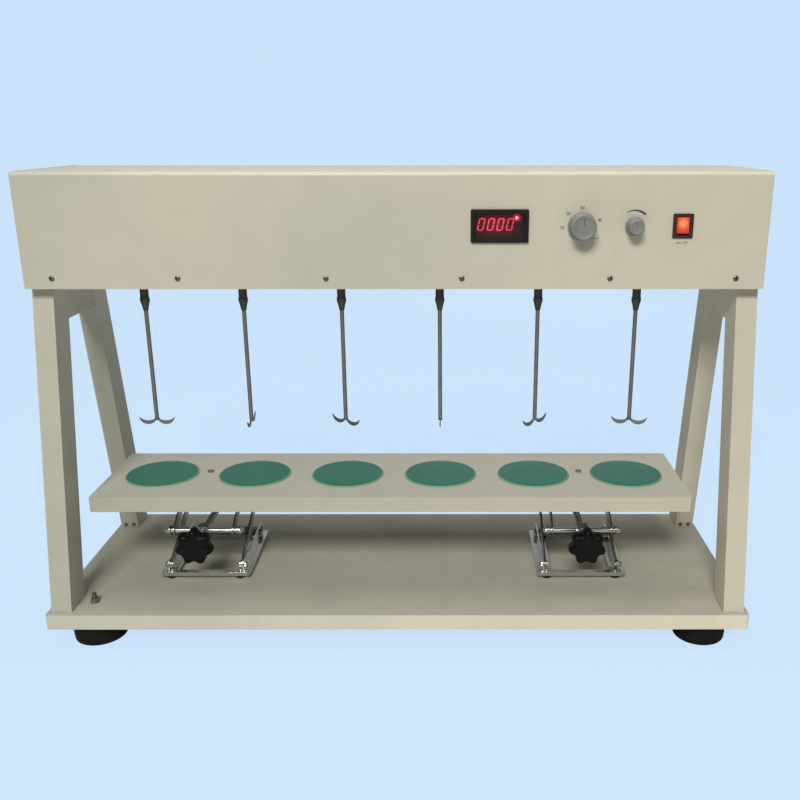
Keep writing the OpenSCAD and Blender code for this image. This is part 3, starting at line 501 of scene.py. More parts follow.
def bead(points, radius, sides=8, ends=True):
    """A round bead carried along a path: ring i lies square to the path at point
    i, radius times (cos a, sin a) in the two directions across it."""
    points = np.asarray(points, float)
    along = np.gradient(points, axis=0)
    along /= np.linalg.norm(along, axis=1)[:, None]
    aside = np.cross(along, [0.31, 0.17, 0.93])
    aside /= np.linalg.norm(aside, axis=1)[:, None]
    above = np.cross(along, aside)
    a = np.linspace(0, 2 * math.pi, sides, endpoint=False)
    size = np.full(len(points), radius)
    if ends:
        size[[0, -1]] = 0
    ring = aside[:, None] * np.cos(a)[None, :, None] + above[:, None] * np.sin(a)[None, :, None]
    return (points[:, None] + ring * size[:, None, None]).reshape(-1, 3), grid_faces(len(points), sides, True)


LEG_W, LEG_D, LEG_FOOT_Y, LEG_TOP_Y, FRAME_H, SADDLE_H = 0.028, 0.045, 0.160, 0.085, 0.442, 0.050
leg_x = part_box("head_cover")[1][0] - LEG_W / 2
head_z = base_top + FRAME_H
# The dark bead at each leg's ends is painted shade in the joint.
gap_shade_material = moulded("painted_gap_shade", (0.10, 0.09, 0.065), (0.17, 0.155, 0.12), 0.7)


def leg_seal(x, y, z):
    """A thin dark line of painted shade round a leg's end: four beads along the sides of its rectangle."""
    radius, steps = 0.0004, 3
    corner = np.array([(-1, -1), (1, -1), (1, 1), (-1, 1)]) * (LEG_W / 2, LEG_D / 2)
    sides = []
    for first, last in zip(corner, np.roll(corner, -1, axis=0)):
        way = np.linspace(first, last, steps)
        sides.append(bead(np.column_stack([way + (x, y), np.full(steps, z)]), radius, 6))
    return joined(*sides)


gap_shades = [leg_seal(sx * leg_x, sy * (end_y - LEG_D / 2), z) for sx in (-1, 1) for sy in (-1, 1)
         for end_y, z in ((LEG_FOOT_Y, base_top), (LEG_TOP_Y, head_z))]
overlaid(mesh_piece("leg_painted_gap_shade_lines", *joined(*gap_shades), gap_shade_material), "left_side_frame")

saddle_z = head_z - SADDLE_H
saddle_y = LEG_TOP_Y - LEG_D + (LEG_FOOT_Y - LEG_TOP_Y) * SADDLE_H / FRAME_H
WELD_R, WELD_STEPS = 0.0016, 9
weld_x = np.linspace(-LEG_W / 2 + 0.001, LEG_W / 2 - 0.001, WELD_STEPS)
welds = []
for sx in (-1, 1):
    for sy in (-1, 1):
        weld_y = np.full(WELD_STEPS, sy * (saddle_y - 0.0003))
        path = np.column_stack([weld_x + sx * leg_x, weld_y, np.full(WELD_STEPS, saddle_z - 0.0002)])
        welds.append(bead(path, WELD_R, 10))
overlaid(mesh_piece("saddle_welds", *joined(*welds), frame_enamel), "left_side_frame")

# ---------------------------------------------------------------------------
# Frame screws: foot bolts, leg bolts, the pan-head screws at the back legs' feet
# and the earth stud at the front left, all zinc-plated steel and a little dull.


def metal_group():
    """Colour, roughness and height of plated or ground steel: smudges, fine
    scratches along X and small dark spots."""
    tree = group_tree("worked_metal",
                      [("Metal", COLOR, (0.6, 0.6, 0.6, 1)), ("Tarnish", COLOR, (0.35, 0.34, 0.32, 1)),
                       ("Polish", FLOAT, 0.15)],
                      [("Color", COLOR), ("Roughness", FLOAT), ("Height", FLOAT)])
    given, result, place, stretch = add_nodes(tree, given="NodeGroupInput", result="NodeGroupOutput",
                                              place="ShaderNodeTexCoord", stretch="ShaderNodeMapping")
    where = place.outputs["Object"]
    tree.links.new(where, stretch.inputs["Vector"])
    stretch.inputs["Scale"].default_value = (0.06, 1, 1)
    smudge = remap(tree, noise(tree, where, 45, 5, 0.65), 0.45, 0.8)
    spots = remap(tree, noise(tree, where, 300, 2, 0.6), 0.68, 0.8)
    age = calc(tree, "MINIMUM", calc(tree, "ADD", calc(tree, "MULTIPLY", smudge, 0.45), spots), 1.0)
    tree.links.new(blend(tree, age, given.outputs["Metal"], given.outputs["Tarnish"]), result.inputs["Color"])
    scratch = remap(tree, noise(tree, stretch.outputs[0], 900, 2), 0.4, 0.7)
    rough = calc(tree, "ADD", given.outputs["Polish"], calc(tree, "MULTIPLY", smudge, 0.22))
    rough = calc(tree, "ADD", rough, calc(tree, "MULTIPLY", scratch, 0.06))
    tree.links.new(rough, result.inputs["Roughness"])
    tree.links.new(scratch, result.inputs["Height"])
    return tree


METAL = metal_group()


def metal(name, tone, tarnish, polish):
    """A bare or plated metal from the worked-metal group."""
    return surfaced(name, METAL, {"Metal": (*tone, 1), "Tarnish": (*tarnish, 1), "Polish": polish},
                    metallic=1.0, strength=0.1, depth=0.00005)


dull_zinc = metal("dull_zinc", (0.34, 0.33, 0.29), (0.16, 0.15, 0.12), 0.34)
softened("frame_screws", 0.0003, dull_zinc)


def cross_head(radius, height, slot_length, slot_width, depth):
    """A pan head with a cross recess, facing +Z: height at distance r is
    height (1 - 0.45 (r/R)^2) less the recess, whose walls ease over 15 %."""
    sides = 64
    share = np.concatenate([np.linspace(0, 1, 17), [1.0]])
    a = np.linspace(0, 2 * math.pi, sides, endpoint=False)
    x, y = (share[:, None] * radius * f(a)[None] for f in (np.cos, np.sin))
    top = height * (1 - 0.45 * share[:, None] ** 2) + np.zeros_like(x)

    def arm(u, v):
        """1 inside a slot along u, easing to 0 outside it."""
        across = np.clip((slot_width / 2 - abs(v)) / (0.15 * slot_width) + 0.5, 0, 1)
        return across * np.clip((slot_length / 2 - abs(u)) / (0.15 * slot_width) + 0.5, 0, 1)

    top -= depth * np.maximum(arm(x, y), arm(y, x))
    top[-1] = 0
    return np.stack([x, y, top], -1).reshape(-1, 3), grid_faces(len(share), sides, True)


def threaded(root, crest, pitch, z0, z1, flat=0.0, sides=32):
    """A right-hand screw along Z: radius is root plus (crest - root) times a
    tooth of the fraction of z / pitch - a / 2 pi, its top flattened by flat."""
    z = np.linspace(z0, z1, int(round((z1 - z0) / pitch * 8)) + 1)[:, None]
    a = np.linspace(0, 2 * math.pi, sides, endpoint=False)[None]
    turn = np.mod(z / pitch - a / (2 * math.pi), 1)
    tooth = np.clip((1 - abs(2 * turn - 1)) * (1 + 2 * flat) - flat, 0, 1)
    ease = np.clip(np.minimum(z - z0, z1 - z) / pitch, 0, 1)
    reach = root + (crest - root) * tooth * ease
    reach[[0, -1]] = 0
    points = np.stack([reach * np.cos(a), reach * np.sin(a), z + 0 * a], -1)
    return points.reshape(-1, 3), grid_faces(len(z), sides, True)


TOE_DX, TOE_UP = 0.0065, 0.006
STUD_IN_X, STUD_IN_Y, NUT_TOP, STUD_L = 0.055, 0.038, 0.0062, 0.0079
lean = math.atan2(LEG_FOOT_Y - LEG_TOP_Y, FRAME_H)
toe_turn = np.array([[1, 0, 0], [0, -math.sin(lean), -math.cos(lean)], [0, math.cos(lean), -math.sin(lean)]])
toe_y = LEG_FOOT_Y - (LEG_FOOT_Y - LEG_TOP_Y) * TOE_UP / FRAME_H - LEG_D
toes = [(sx * leg_x + dx, toe_y, base_top + TOE_UP) for sx in (-1, 1) for dx in (-TOE_DX, TOE_DX)]
toe_heads = copies(cross_head(0.0031, 0.0021, 0.0036, 0.0008, 0.0009), toe_turn, toes)
stud_thread = copies(threaded(0.00302, 0.00325, 0.001, 0, STUD_L), UP,
                     [(base_low[0] + STUD_IN_X, base_low[1] + STUD_IN_Y, base_top + NUT_TOP)])
dark_zinc = metal("dark_zinc", (0.20, 0.19, 0.16), (0.09, 0.085, 0.07), 0.38)
overlaid(mesh_piece("toe_heads_and_stud_thread", *joined(toe_heads, stud_thread), dark_zinc), "frame_screws")

# ---------------------------------------------------------------------------
# Head: the cover is one sheet folded over front, top and back, with its ends
# welded in; the chassis tray closes it below. Twelve screws join the two.
softened("head_cover", 0.0009, cream_enamel)
softened("head_chassis", 0.0004, cream_enamel)

head_low, head_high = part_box("head_cover")
front_y = head_low[1]
HEAD_R = 0.005
quarter = np.linspace(0, math.pi / 2, 9)
bend_z = head_high[2] - HEAD_R
hood = np.concatenate([
    [(front_y, head_low[2])],
    np.column_stack([front_y + HEAD_R - HEAD_R * np.cos(quarter), bend_z + HEAD_R * np.sin(quarter)]),
    np.column_stack([-front_y - HEAD_R + HEAD_R * np.sin(quarter), bend_z + HEAD_R * np.cos(quarter)]),
    [(-front_y, head_low[2])]])
END_WELD_R, END_WELD_IN = 0.0005, 0.0008
end_x = head_high[0] - END_WELD_IN
end_welds = [bead(np.column_stack([np.full(len(hood), sx * end_x), hood]), END_WELD_R, 8) for sx in (-1, 1)]
overlaid(mesh_piece("cover_end_welds", *joined(*end_welds), cream_enamel), "head_cover")

COVER_SCREW_X = (0.443, 0.280, 0.088)
COVER_SCREW_UP, PAN_R, SHANK_R, SHANK_L = 0.014, 0.0036, 0.002, 0.008
screw_shape = joined(cross_head(PAN_R, 0.0019, 0.0044, 0.0011, 0.0011),
                     spun([(0, -SHANK_L), (SHANK_R, -SHANK_L), (SHANK_R, -0.0001), (PAN_R, 0), (0, 0)], 64))
screw_x = [s * x for s in (-1, 1) for x in COVER_SCREW_X]
screw_z = head_low[2] + COVER_SCREW_UP
cover_screws = joined(copies(screw_shape, FRONT, [(x, front_y, screw_z) for x in screw_x]),
                      copies(screw_shape, BACK, [(x, -front_y, screw_z) for x in screw_x]))
fitted(mesh_piece("cover_screws_pan_head", *cover_screws, dark_zinc), "cover_screws")

# ---------------------------------------------------------------------------
# Inside the head: bearing housings of turned aluminium, the motor in dark
# enamel, link belts of black rubber and the speed controller's board.


def painted(node, material):
    """A CAD node whose shape stays gets its finish."""
    item = cad[node]
    item.data.materials.clear()
    item.data.materials.append(material)


turned_aluminium = metal("turned_aluminium", (0.60, 0.61, 0.62), (0.40, 0.40, 0.40), 0.28)
motor_enamel = surfaced("motor_enamel", ENAMEL, {
    "Paint": (0.03, 0.035, 0.04, 1), "Lit_end_paint": (0.04, 0.04, 0.04, 1), "Top dust and painted light share": 0.15, "Gloss": 0.35})
laminate = moulded("board_laminate", (0.02, 0.10, 0.04), (0.05, 0.16, 0.08), 0.35)
softened("bearing_housings", 0.0005, turned_aluminium)
softened("motor", 0.0008, motor_enamel)
painted("motor_pulley", turned_aluminium)
painted("drive_belts", black_rubber)
painted("control_board", laminate)
for number in range(1, 7):
    painted(f"spindle_{number}", turned_aluminium)

# ---------------------------------------------------------------------------
# Speed display: black moulded frame with a smoked red window. Behind it four
# digits of red light bars and one round lamp shine, and tint the window.
black_plastic = moulded("black_plastic", (0.007, 0.005, 0.004), (0.014, 0.011, 0.010), 0.45, specular=0.28)
softened("display_meter", 0.0009, black_plastic)
meter_x, _, panel_z = middle("display_meter")


def glow_round(tree, centre, reach):
    """1 at centre, falling to 0 at reach metres from it along X and Z."""
    place, shift, length = add_nodes(tree, place="ShaderNodeTexCoord", shift="ShaderNodeMapping",
                                     length="ShaderNodeVectorMath")
    tree.links.new(place.outputs["Object"], shift.inputs["Vector"])
    shift.inputs["Scale"].default_value = (1 / reach[0], 0, 1 / reach[1])
    shift.inputs["Location"].default_value = (-centre[0] / reach[0], 0, -centre[1] / reach[1])
    length.operation = "LENGTH"
    tree.links.new(shift.outputs[0], length.inputs[0])
    return remap(tree, length.outputs["Value"], 0.0, 1.0, 1.0, 0.0)


def lit(name, centre, reach, colors, strength, rough=0.25, body=(0.012, 0.003, 0.004, 1)):
    """Plastic lit from behind: colors go from the rim to the middle of the glow."""
    material, tree, shader = new_material(name)
    near = glow_round(tree, centre, reach)
    tone = blend(tree, remap(tree, near, 0.0, 0.55), colors[0], colors[1])
    tone = blend(tree, remap(tree, near, 0.45, 1.0), tone, colors[2])
    place = tree.nodes.new("ShaderNodeTexCoord")
    grain = remap(tree, noise(tree, place.outputs["Object"], 700, 2), 0.3, 0.7, 0.90, 1.06)
    scaled = tree.nodes.new("ShaderNodeVectorMath")
    scaled.operation = "SCALE"
    tree.links.new(tone, scaled.inputs[0])
    tree.links.new(grain, scaled.inputs["Scale"])
    tree.links.new(scaled.outputs[0], shader.inputs["Emission Color"])
    shader.inputs["Emission Strength"].default_value = strength
    shader.inputs["Base Color"].default_value = body
    shader.inputs["Roughness"].default_value = rough
    return material


DIGIT_W, DIGIT_H, DIGIT_STEP, BAR, SLANT = 0.0085, 0.0160, 0.0122, 0.0018, 0.22
DIGITS_LEFT, DIGITS_UP = 0.0052, 0.0022
digits_x, digits_z = meter_x - DIGITS_LEFT, panel_z + DIGITS_UP
smoked_reds = (0.0010, 0.0004, 0.0004, 1), (0.050, 0.0008, 0.002, 1), (0.20, 0.002, 0.006, 1)
smoked_window = lit("smoked_window", (digits_x + 0.002, digits_z), (0.034, 0.019), smoked_reds, 1.0, 0.12)
softened("display_window", 0.0003, smoked_window)


def bar_outline(x0, z0, x1, z1):
    """A light bar from one end to the other: a strip with pointed ends."""
    first, last = np.array([x0, z0]), np.array([x1, z1])
    along = (last - first) / np.linalg.norm(last - first)
    across = np.array([-along[1], along[0]]) * BAR / 2
    tip = along * BAR / 2
    return np.array([first, first + tip - across, last - tip - across,
                     last, last - tip + across, first + tip + across])


def digit_bars(x, bars):
    """The bars of one digit at x, each leaning by SLANT of its height."""
    w, h = DIGIT_W / 2 - BAR / 2, DIGIT_H / 2 - BAR / 2
    ends = {"top": (-w, h, w, h), "high_right": (w, h, w, 0), "low_right": (w, 0, w, -h),
            "low": (-w, -h, w, -h), "low_left": (-w, 0, -w, -h), "high_left": (-w, h, -w, 0),
            "middle": (-w, 0, w, 0)}
    outline = np.array([bar_outline(*ends[b]) for b in bars])
    outline[..., 0] += SLANT * outline[..., 1] + x
    outline[..., 1] += digits_z
    return outline


PRINT_LIFT = 0.00004  # the print's and the window bars' distance from what they lie on


def flat_print(outline, depth):
    """Points and faces of flat shapes (shape, corner, xz) that face the front."""
    count, corner_count = outline.shape[:2]
    points = np.stack([outline[..., 0], np.full(outline.shape[:2], depth), outline[..., 1]], -1)
    return points.reshape(-1, 3), np.arange(count * corner_count).reshape(count, corner_count)


window_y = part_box("display_window")[0][1] - PRINT_LIFT
digit_x = digits_x + DIGIT_STEP * (np.arange(4) - 1.5)
zero = ("top", "high_right", "low_right", "low", "low_left", "high_left")
lit_bars = np.concatenate([digit_bars(x, zero) for x in digit_x])
dark_bars = np.concatenate([digit_bars(x, ("middle",)) for x in digit_x])
lamp_a = np.linspace(0, 2 * math.pi, 24, endpoint=False)
LAMP_R, LAMP_RIGHT, LAMP_UP = 0.0023, 0.0215, 0.0104
lamp_x, lamp_z = meter_x + LAMP_RIGHT, panel_z + LAMP_UP
round_lamp = np.stack([lamp_x + LAMP_R * np.cos(lamp_a), lamp_z + LAMP_R * np.sin(lamp_a)], -1)[None]
red_light = lit("red_light_bars", (digits_x, digits_z), (0.030, 0.016),
                ((0.70, 0.03, 0.07, 1), (0.90, 0.055, 0.115, 1), (1.0, 0.09, 0.16, 1)), 1.05)
pink_lamp = lit("round_lamp", (lamp_x, lamp_z), (LAMP_R, LAMP_R),
                ((1.0, 0.10, 0.2, 1), (1.0, 0.32, 0.42, 1), (1.0, 0.75, 0.8, 1)), 1.3)
lamp_halo = lit("lamp_halo", (lamp_x, lamp_z), (0.0078, 0.0078),
                ((0.05, 0.0008, 0.002, 1), (0.30, 0.004, 0.015, 1), (0.9, 0.03, 0.08, 1)), 1.0, 0.12)
# The middle bars are off, yet glow faintly red: painted light.
unlit_bars_painted_glow = lit("unlit_bars_painted_glow", (digits_x, digits_z), (0.030, 0.016),
                 ((0.03, 0.001, 0.002, 1), (0.06, 0.002, 0.004, 1), (0.10, 0.003, 0.006, 1)), 1.0)
HALO_HALF_W, HALO_HALF_H = 0.0064, 0.0052
halo = np.stack([lamp_x + HALO_HALF_W * np.cos(lamp_a), lamp_z + HALO_HALF_H * np.sin(lamp_a)], -1)[None]
LAYER = 0.00003
for name, outline, layers, glow in (
        ("digit_bars_lit", lit_bars, 2, red_light), ("digit_bars_unlit_painted_glow", dark_bars, 1, unlit_bars_painted_glow),
        ("round_lamp_halo", halo, 1, lamp_halo), ("round_lamp_lens", round_lamp, 3, pink_lamp)):
    layer = flat_print(outline, window_y - layers * LAYER)
    overlaid(mesh_piece(name, *layer, glow, closed=False), "display_window")

# ---------------------------------------------------------------------------
# Panel print: the timer's plain numbers and end line, the wedge that swells
# with speed, and ON and OFF under the switch, all screened in dark ink.
dark_ink = moulded("dark_ink", (0.055, 0.055, 0.045), (0.14, 0.135, 0.11), 0.55)
print_y = front_y - PRINT_LIFT
timer_x = middle("timer_knob")[0]
speed_x = middle("speed_knob")[0]
switch_x = middle("switch_housing")[0]


def letters(words, height, x, z):
    """Flat letters of the built-in face, their middle at x and z, facing the front."""
    curve = bpy.data.curves.new("letters", "FONT")
    curve.body = words
    curve.size = height / 0.7
    curve.resolution_u = 3
    curve.offset = height * 0.025
    holder = bpy.data.objects.new("letters", curve)
    scene.collection.objects.link(holder)
    mesh = bpy.data.meshes.new_from_object(holder.evaluated_get(bpy.context.evaluated_depsgraph_get()))
    points = np.empty(len(mesh.vertices) * 3)
    mesh.vertices.foreach_get("co", points)
    points = points.reshape(-1, 3)
    faces = [list(p.vertices) for p in mesh.polygons]
    bpy.data.objects.remove(holder)
    points += (x, z, 0) - (points.min(0) + points.max(0)) / 2
    return np.column_stack([points[:, 0], np.full(len(points), print_y), points[:, 1]]), faces


DIAL_R, DIAL_DROP, DIAL_FIGURE = 0.0246, 0.0020, 0.0040
DIAL_ZERO, DIAL_STEP = 225, 4.5  # degrees: where 0 would stand, and for each minute
dial = []
for minutes in (10, 20, 30, 45):
    a = math.radians(DIAL_ZERO - DIAL_STEP * minutes)
    dial.append(letters(str(minutes), DIAL_FIGURE, timer_x + DIAL_R * math.cos(a),
                        panel_z - DIAL_DROP + DIAL_R * math.sin(a)))
end_line = np.array([[(0.0100, -0.0158), (0.0225, -0.0158), (0.0225, -0.0151), (0.0100, -0.0151)]])
dial.append(flat_print(end_line + (timer_x, panel_z), print_y))
WEDGE_STEPS = 25
wedge_a = np.radians(np.linspace(124, 46, WEDGE_STEPS))
wedge_r, wedge_half = 0.0196, np.linspace(0.0003, 0.0017, WEDGE_STEPS)
rim = [np.stack([speed_x + (wedge_r + s * wedge_half) * np.cos(wedge_a),
                 panel_z + (wedge_r + s * wedge_half) * np.sin(wedge_a)], -1) for s in (1, -1)]
strips = np.stack([rim[1][:-1], rim[1][1:], rim[0][1:], rim[0][:-1]], 1)[:, ::-1]
dial.append(flat_print(strips, print_y))
SWITCH_WORD, SWITCH_WORD_DROP = 0.0026, 0.0212
dial.append(letters("ON  OFF", SWITCH_WORD, switch_x, panel_z - SWITCH_WORD_DROP))
overlaid(mesh_piece("panel_print", *joined(*dial), dark_ink, closed=False), "head_cover")

# ---------------------------------------------------------------------------
# Timer and speed knobs: fluted caps of grey plastic on a plain skirt, with a
# dished face and a cut pointer line, each on a steel shaft through the panel.
grey_plastic = moulded("grey_plastic", (0.200, 0.202, 0.190), (0.230, 0.230, 0.215), 0.5)
line_grey = moulded("pointer_line", (0.07, 0.07, 0.07), (0.12, 0.12, 0.12), 0.6)
softened("panel_controls", 0.0004, dull_zinc)
KNOB_STAND = 0.0036  # gap between the panel and a knob's skirt
LINE_HALF, LINE_IN = 0.0005, 0.00033


def fluted_knob(node, cap_r, skirt_r, height, flutes):
    """A skirt, a cap whose distance is 1 - 0.055 |cos(n a / 2)|^8 along its side,
    a rounded rim and a dished face, spun round the shaft."""
    x = middle(node)[0]
    shaft_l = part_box(node)[1][1] - front_y + KNOB_STAND - 0.0005
    step = np.linspace(0, math.pi / 2, 6)
    rim = np.column_stack([cap_r - 0.0016 + 0.0016 * np.cos(step), height - 0.0016 + 0.0016 * np.sin(step)])
    outline = np.concatenate([
        [(0, -shaft_l), (0.0028, -shaft_l), (0.003, -shaft_l + 0.0003), (0.003, 0), (skirt_r - 0.0004, 0)],
        [(skirt_r, 0.0004), (skirt_r, 0.0012), (skirt_r - 0.0005, 0.0020), (cap_r + 0.0004, 0.0036)],
        [(cap_r, 0.0042), (cap_r, 0.0050), (cap_r, 0.0060), (cap_r, height - 0.0030)], rim,
        [(cap_r - 0.0030, height), (cap_r - 0.0033, height - 0.0003), (cap_r * 0.5, height - 0.00045),
         (0, height - 0.0005)]])

    def waves(a, h):
        """Flutes between the skirt and the rim only."""
        cut = np.clip((h - 0.0050) / 0.001, 0, 1) * np.clip((height - 0.0004 - h) / 0.0012, 0, 1)
        return 1 - 0.055 * cut * abs(np.cos(flutes * a / 2)) ** 8

    knob = copies(spun(outline, flutes * 8, waves), FRONT, [(x, front_y - KNOB_STAND, panel_z)])
    fitted(mesh_piece(node + "_fluted", *knob, grey_plastic, angle=50), node)
    line_y = front_y - KNOB_STAND - height + LINE_IN
    corners = [(-LINE_HALF, 0.12), (LINE_HALF, 0.12), (LINE_HALF, 0.78), (-LINE_HALF, 0.78)]
    line = np.array([corners]) * (1, cap_r)
    pointer = flat_print(line + (x, panel_z), line_y)
    overlaid(mesh_piece(node + "_pointer", *pointer, line_grey, closed=False), node)


fluted_knob("timer_knob", 0.016, 0.018, 0.021, 28)
fluted_knob("speed_knob", 0.00975, 0.01225, 0.017, 18)

# ---------------------------------------------------------------------------
# Rocker switch: a black snap-in frame, and a translucent red rocker with a lamp
# behind it that shows orange in the middle and deep red at the rim.
warm_black = moulded("switch_black", (0.030, 0.010, 0.007), (0.045, 0.02, 0.014), 0.35)
softened("switch_housing", 0.0006, warm_black)
lit_rocker = lit("lit_rocker", (switch_x, panel_z + 0.0034), (0.0125, 0.0130),
                 ((0.30, 0.024, 0.013, 1), (0.66, 0.105, 0.050, 1), (1.0, 0.40, 0.17, 1)), 1.0, 0.22,
                 (0.25, 0.01, 0.006, 1))
softened("switch_rocker", 0.0006, lit_rocker)

# ---------------------------------------------------------------------------
# Cord gland: black nylon body, hexagon and clamp cap in the cover's back, with
# the soft seal that grips the lead just inside its mouth.
softened("cord_gland", 0.0005, black_plastic)
gland_x, _, gland_z = middle("cord_gland")
gland_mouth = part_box("cord_gland")[1][1]
seal_ring = spun([(0.0037, -0.004), (0.0060, -0.004), (0.0060, -0.0004), (0.0056, 0.0001), (0.0046, 0.0001),
                  (0.0037, -0.0008), (0.0037, -0.004)], 40)
gland_seal = copies(seal_ring, BACK, [(gland_x, gland_mouth, gland_z)])
overlaid(mesh_piece("gland_seal", *gland_seal, black_rubber), "cord_gland")

# ---------------------------------------------------------------------------
# Beaker platform: a folded tray in the same enamel, with six green places. Each
# is a moulded disc with a paler raised rim; two pan-head screws hold the tray.
# The platform's pale top layer is painted light on its top.
softened("platform_tray", 0.0014, cream("platform_enamel_painted_light", 1.01, (0.72, 0.71, 0.64), 0.50), segments=3)
PAD_R, PAD_T, RIM_W = 0.054, 0.002, 0.0026
platform_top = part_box("platform_tray")[1][2]
station_x = row_x + (np.arange(6) - 2.5) * PITCH
places = [(x, 0, platform_top) for x in station_x]
green_plastic = moulded("green_plastic", (0.034, 0.200, 0.150), (0.044, 0.235, 0.180), 0.4, specular=0.35)
pale_green = moulded("pale_green_rim", (0.20, 0.37, 0.26), (0.26, 0.41, 0.29), 0.45)
rim_in = PAD_R - RIM_W
rim_shape = spun([(rim_in, 0), (PAD_R, 0), (PAD_R - 0.0002, 0.0010), (PAD_R - 0.0010, 0.0018),
                  (PAD_R - 0.0018, PAD_T), (rim_in + 0.0008, PAD_T), (rim_in + 0.0002, PAD_T - 0.0003),
                  (rim_in, PAD_T - 0.0008), (rim_in, 0)], 96)
disc_shape = spun([(0, 0), (rim_in, 0), (rim_in, 0.0013), (rim_in * 0.97, 0.0015), (rim_in * 0.5, 0.00145),
                   (0, 0.0014)], 96)
fitted(mesh_piece("station_places", *copies(disc_shape, UP, places), green_plastic), "station_pads")
overlaid(mesh_piece("station_rims", *copies(rim_shape, UP, places), pale_green), "station_pads")
softened("platform_screws", 0.0003, dull_zinc)
TRAY_SCREW_Y = 0.010
tray_heads = copies(cross_head(0.0046, 0.0026, 0.0052, 0.0012, 0.0013), UP,
                    [(x, TRAY_SCREW_Y, platform_top) for x in JACK_X.values()])
overlaid(mesh_piece("platform_screw_heads", *tray_heads, dull_zinc), "platform_screws")

# ---------------------------------------------------------------------------
# Scissor jacks: plated steel base rings and top plates with upright ears, flat
# arms with rivets, cross rods with domed ends, and the bars the screw runs in.
bright_plate = metal("bright_plate", (0.68, 0.68, 0.66), (0.30, 0.30, 0.28), 0.14)
worn_plate = metal("worn_plate", (0.36, 0.365, 0.36), (0.14, 0.14, 0.13), 0.22)
softened("jack_bases", 0.0005, bright_plate)
softened("jack_top_plates", 0.0005, worn_plate)
for side in ("left", "right"):
    for arms in ("lower_arms_a", "lower_arms_b", "upper_arms_a", "upper_arms_b"):
        softened(f"{side}_{arms}", 0.0004, worn_plate)
    for bar in ("front_bar", "nut_bar"):
        softened(f"{side}_{bar}", 0.0006, bright_plate)

# ---------------------------------------------------------------------------
# Lead screws: 10 mm steel rods with a rolled trapezoid thread of 3 mm pitch, a
# collar on each side of the front block, and a plain end for the knob.
SCREW_R, SCREW_ROOT, SCREW_PITCH, COLLAR_R, COLLAR_W = 0.005, 0.0042, 0.003, 0.008, 0.004
END_R, END_L, END_IN, PLAY = 0.004, 0.0175, 0.001, 0.0003
collar = spun([(0, 0), (COLLAR_R - 0.0004, 0), (COLLAR_R, 0.0004), (COLLAR_R, COLLAR_W - 0.0004),
               (COLLAR_R - 0.0004, COLLAR_W), (0, COLLAR_W)], 48)
end_shape = spun([(0, 0), (END_R - 0.0003, 0), (END_R, 0.0003), (END_R, END_L), (0, END_L)], 40)
for side, x in JACK_X.items():
    low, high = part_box(f"{side}_lead_screw")
    bar_low, bar_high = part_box(f"{side}_front_bar")
    screw_z = (low[2] + high[2]) / 2
    thread_y = low[1] + END_L - END_IN
    rod = copies(threaded(SCREW_ROOT, SCREW_R, SCREW_PITCH, 0, high[1] - thread_y, flat=0.35), BACK,
                 [(x, thread_y, screw_z)])
    collar_y = bar_low[1] - PLAY - COLLAR_W, bar_high[1] + PLAY
    collars = copies(collar, BACK, [(x, y, screw_z) for y in collar_y])
    screw = joined(rod, collars, copies(end_shape, BACK, [(x, low[1], screw_z)]))
    fitted(mesh_piece(f"{side}_screw_threaded", *screw, bright_plate), f"{side}_lead_screw")

# ---------------------------------------------------------------------------
# Star knobs: seven-lobed knobs of black phenolic, pressed and polished, domed in
# front, with a hub behind that is pinned to the lead screw.
gloss_black = moulded("gloss_black", (0.003, 0.003, 0.003), (0.007, 0.007, 0.006), 0.33, strength=0.08,
                      specular=0.14)
STAR_R, STAR_DEEP, STAR_T, LOBES = 0.027, 0.0054, 0.020, 7


def star_reach(a):
    """Distance to the rim at angle a: STAR_R - STAR_DEEP (1 + cos 7 (a - 12)) / 2,
    with a hollow at 12 degrees."""
    return STAR_R - STAR_DEEP * (0.5 + 0.5 * np.cos(LOBES * (a - math.radians(12))))


def star_knob_shape():
    """Rings of the rim's outline drawn in by an inset at each height, closing on
    the axis in front and behind, with the round hub added behind."""
    a = np.linspace(0, 2 * math.pi, 224, endpoint=False)
    inset_mm = [26, 12, 3.0, 1.2, 0.4, 0, 0, 0, 0.3, 1.1, 2.4, 4.2, 7.0, 11, 15.5, 20, 26]
    height_mm = [0, 0, 0, 0.25, 0.9, 2.2, 7.0, 12.5, 14.4, 16.2, 17.6, 18.7, 19.4, 19.75, 19.9, 19.95, 19.95]
    inset, height = np.array(inset_mm) * 1e-3, np.array(height_mm) * 1e-3
    reach = np.clip(star_reach(a)[None] - inset[:, None], 0, None)
    limit = np.clip((0.026 - inset) / 0.026, 0, 1)[:, None] * STAR_R
    reach = np.minimum(reach, np.where(inset[:, None] > 0.0065, limit * 0.72 + 0 * reach, reach))
    reach[[0, -1]] = 0
    points = np.stack([reach * np.cos(a), reach * np.sin(a), height[:, None] + 0 * reach], -1)
    hub = spun([(0, -0.0048), (0.0086, -0.0048), (0.009, -0.0044), (0.009, 0.0005), (0, 0.0005)], 48)
    return joined((points.reshape(-1, 3), grid_faces(len(inset), len(a), True)), hub)


for side, x in JACK_X.items():
    knob_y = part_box(f"{side}_star_knob")[0][1] + STAR_T
    knob = copies(star_knob_shape(), FRONT, [(x, knob_y, middle(f"{side}_lead_screw")[2])])
    fitted(mesh_piece(f"{side}_star_knob_moulded", *knob, gloss_black, angle=60), f"{side}_star_knob")

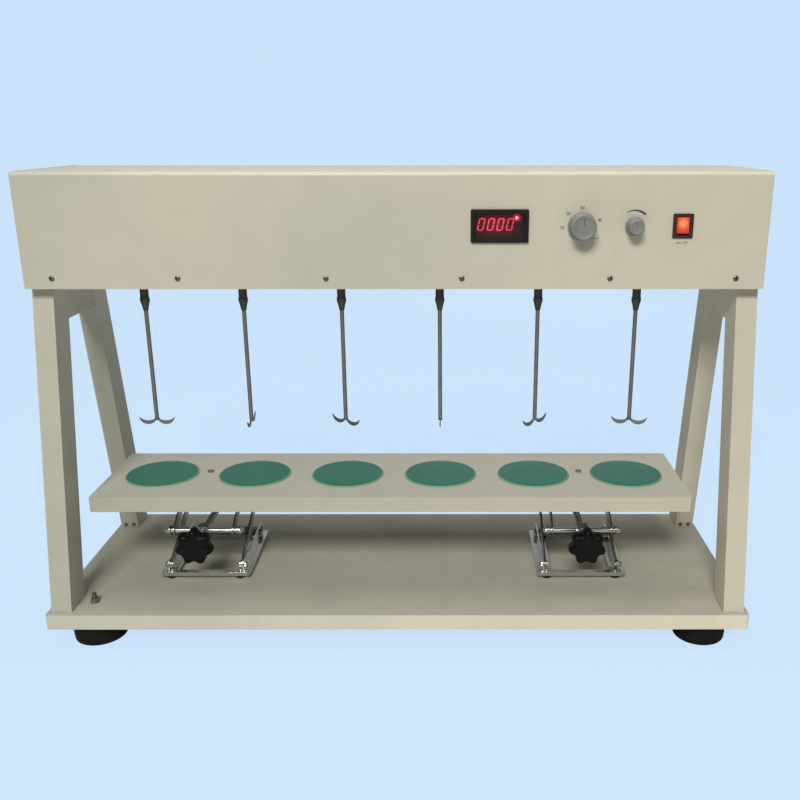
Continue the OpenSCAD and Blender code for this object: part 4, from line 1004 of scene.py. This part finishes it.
# ---------------------------------------------------------------------------
# Chucks and stirrers: blackened collet chucks with a gripped nut, and rods of
# stainless steel with two thin crescent blades welded to the end.
dark_steel = metal("blackened_steel", (0.10, 0.097, 0.085), (0.05, 0.048, 0.042), 0.34)
stainless = metal("stainless_steel", (0.27, 0.268, 0.26), (0.15, 0.148, 0.14), 0.30)
TURNS = (0, 90, -35, 90, 45, -10)  # degrees that each stirrer's blades are turned
CHUCK_R, ROD_R = 0.00675, 0.003
chuck_outline = [(0, 0.0065), (ROD_R + 0.0004, 0.0065), (ROD_R + 0.0007, 0.0075), (0.0052, 0.0150),
                 (0.0064, 0.0190), (CHUCK_R, 0.0200), (CHUCK_R, 0.0206), (CHUCK_R, 0.0236), (CHUCK_R, 0.0242),
                 (0.0062, 0.0252), (0.0060, 0.0262), (0.0060, 0.0500), (0.0050, 0.0510), (0, 0.0510)]
BAND_Z, BAND_HALF, GRIP_DEEP, GRIPS = 0.0221, 0.0016, 0.05, 30


def grip(a, h):
    """Thirty fine grip flutes round the chuck's widest band."""
    band = np.clip((BAND_HALF - abs(h - BAND_Z)) / 0.0005, 0, 1)
    return 1 - GRIP_DEEP * band * (0.5 + 0.5 * np.cos(GRIPS * a))


SEAM_OUT, SEAM_ASIDE, SEAM_STEPS = 0.0029, 0.0008, 7
SEAM_LOW, SEAM_HIGH, SEAM_R = 0.0066, 0.0105, 0.0006
for number, x, turned in zip(range(1, 7), station_x, TURNS):
    chuck_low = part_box(f"chuck_{number}")[0][2]
    chuck = copies(spun(chuck_outline, 120, grip), UP, [(x, 0, chuck_low)])
    fitted(mesh_piece(f"chuck_{number}_turned", *chuck, dark_steel), f"chuck_{number}")
    softened(f"stirrer_{number}", 0.0003, stainless, angle=50)
    rod_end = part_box(f"stirrer_{number}")[0][2]
    turn = math.radians(turned)
    seam_z = np.linspace(rod_end + SEAM_LOW, rod_end + SEAM_HIGH, SEAM_STEPS)
    seams = []
    for s in (-1, 1):
        for t in (-1, 1):
            seam_x = x + s * SEAM_OUT * math.cos(turn) - t * SEAM_ASIDE * math.sin(turn)
            seam_y = s * SEAM_OUT * math.sin(turn) + t * SEAM_ASIDE * math.cos(turn)
            path = np.column_stack([np.full(SEAM_STEPS, seam_x), np.full(SEAM_STEPS, seam_y), seam_z])
            seams.append(bead(path, SEAM_R, 8))
    overlaid(mesh_piece(f"blade_welds_{number}", *joined(*seams), stainless), f"stirrer_{number}")
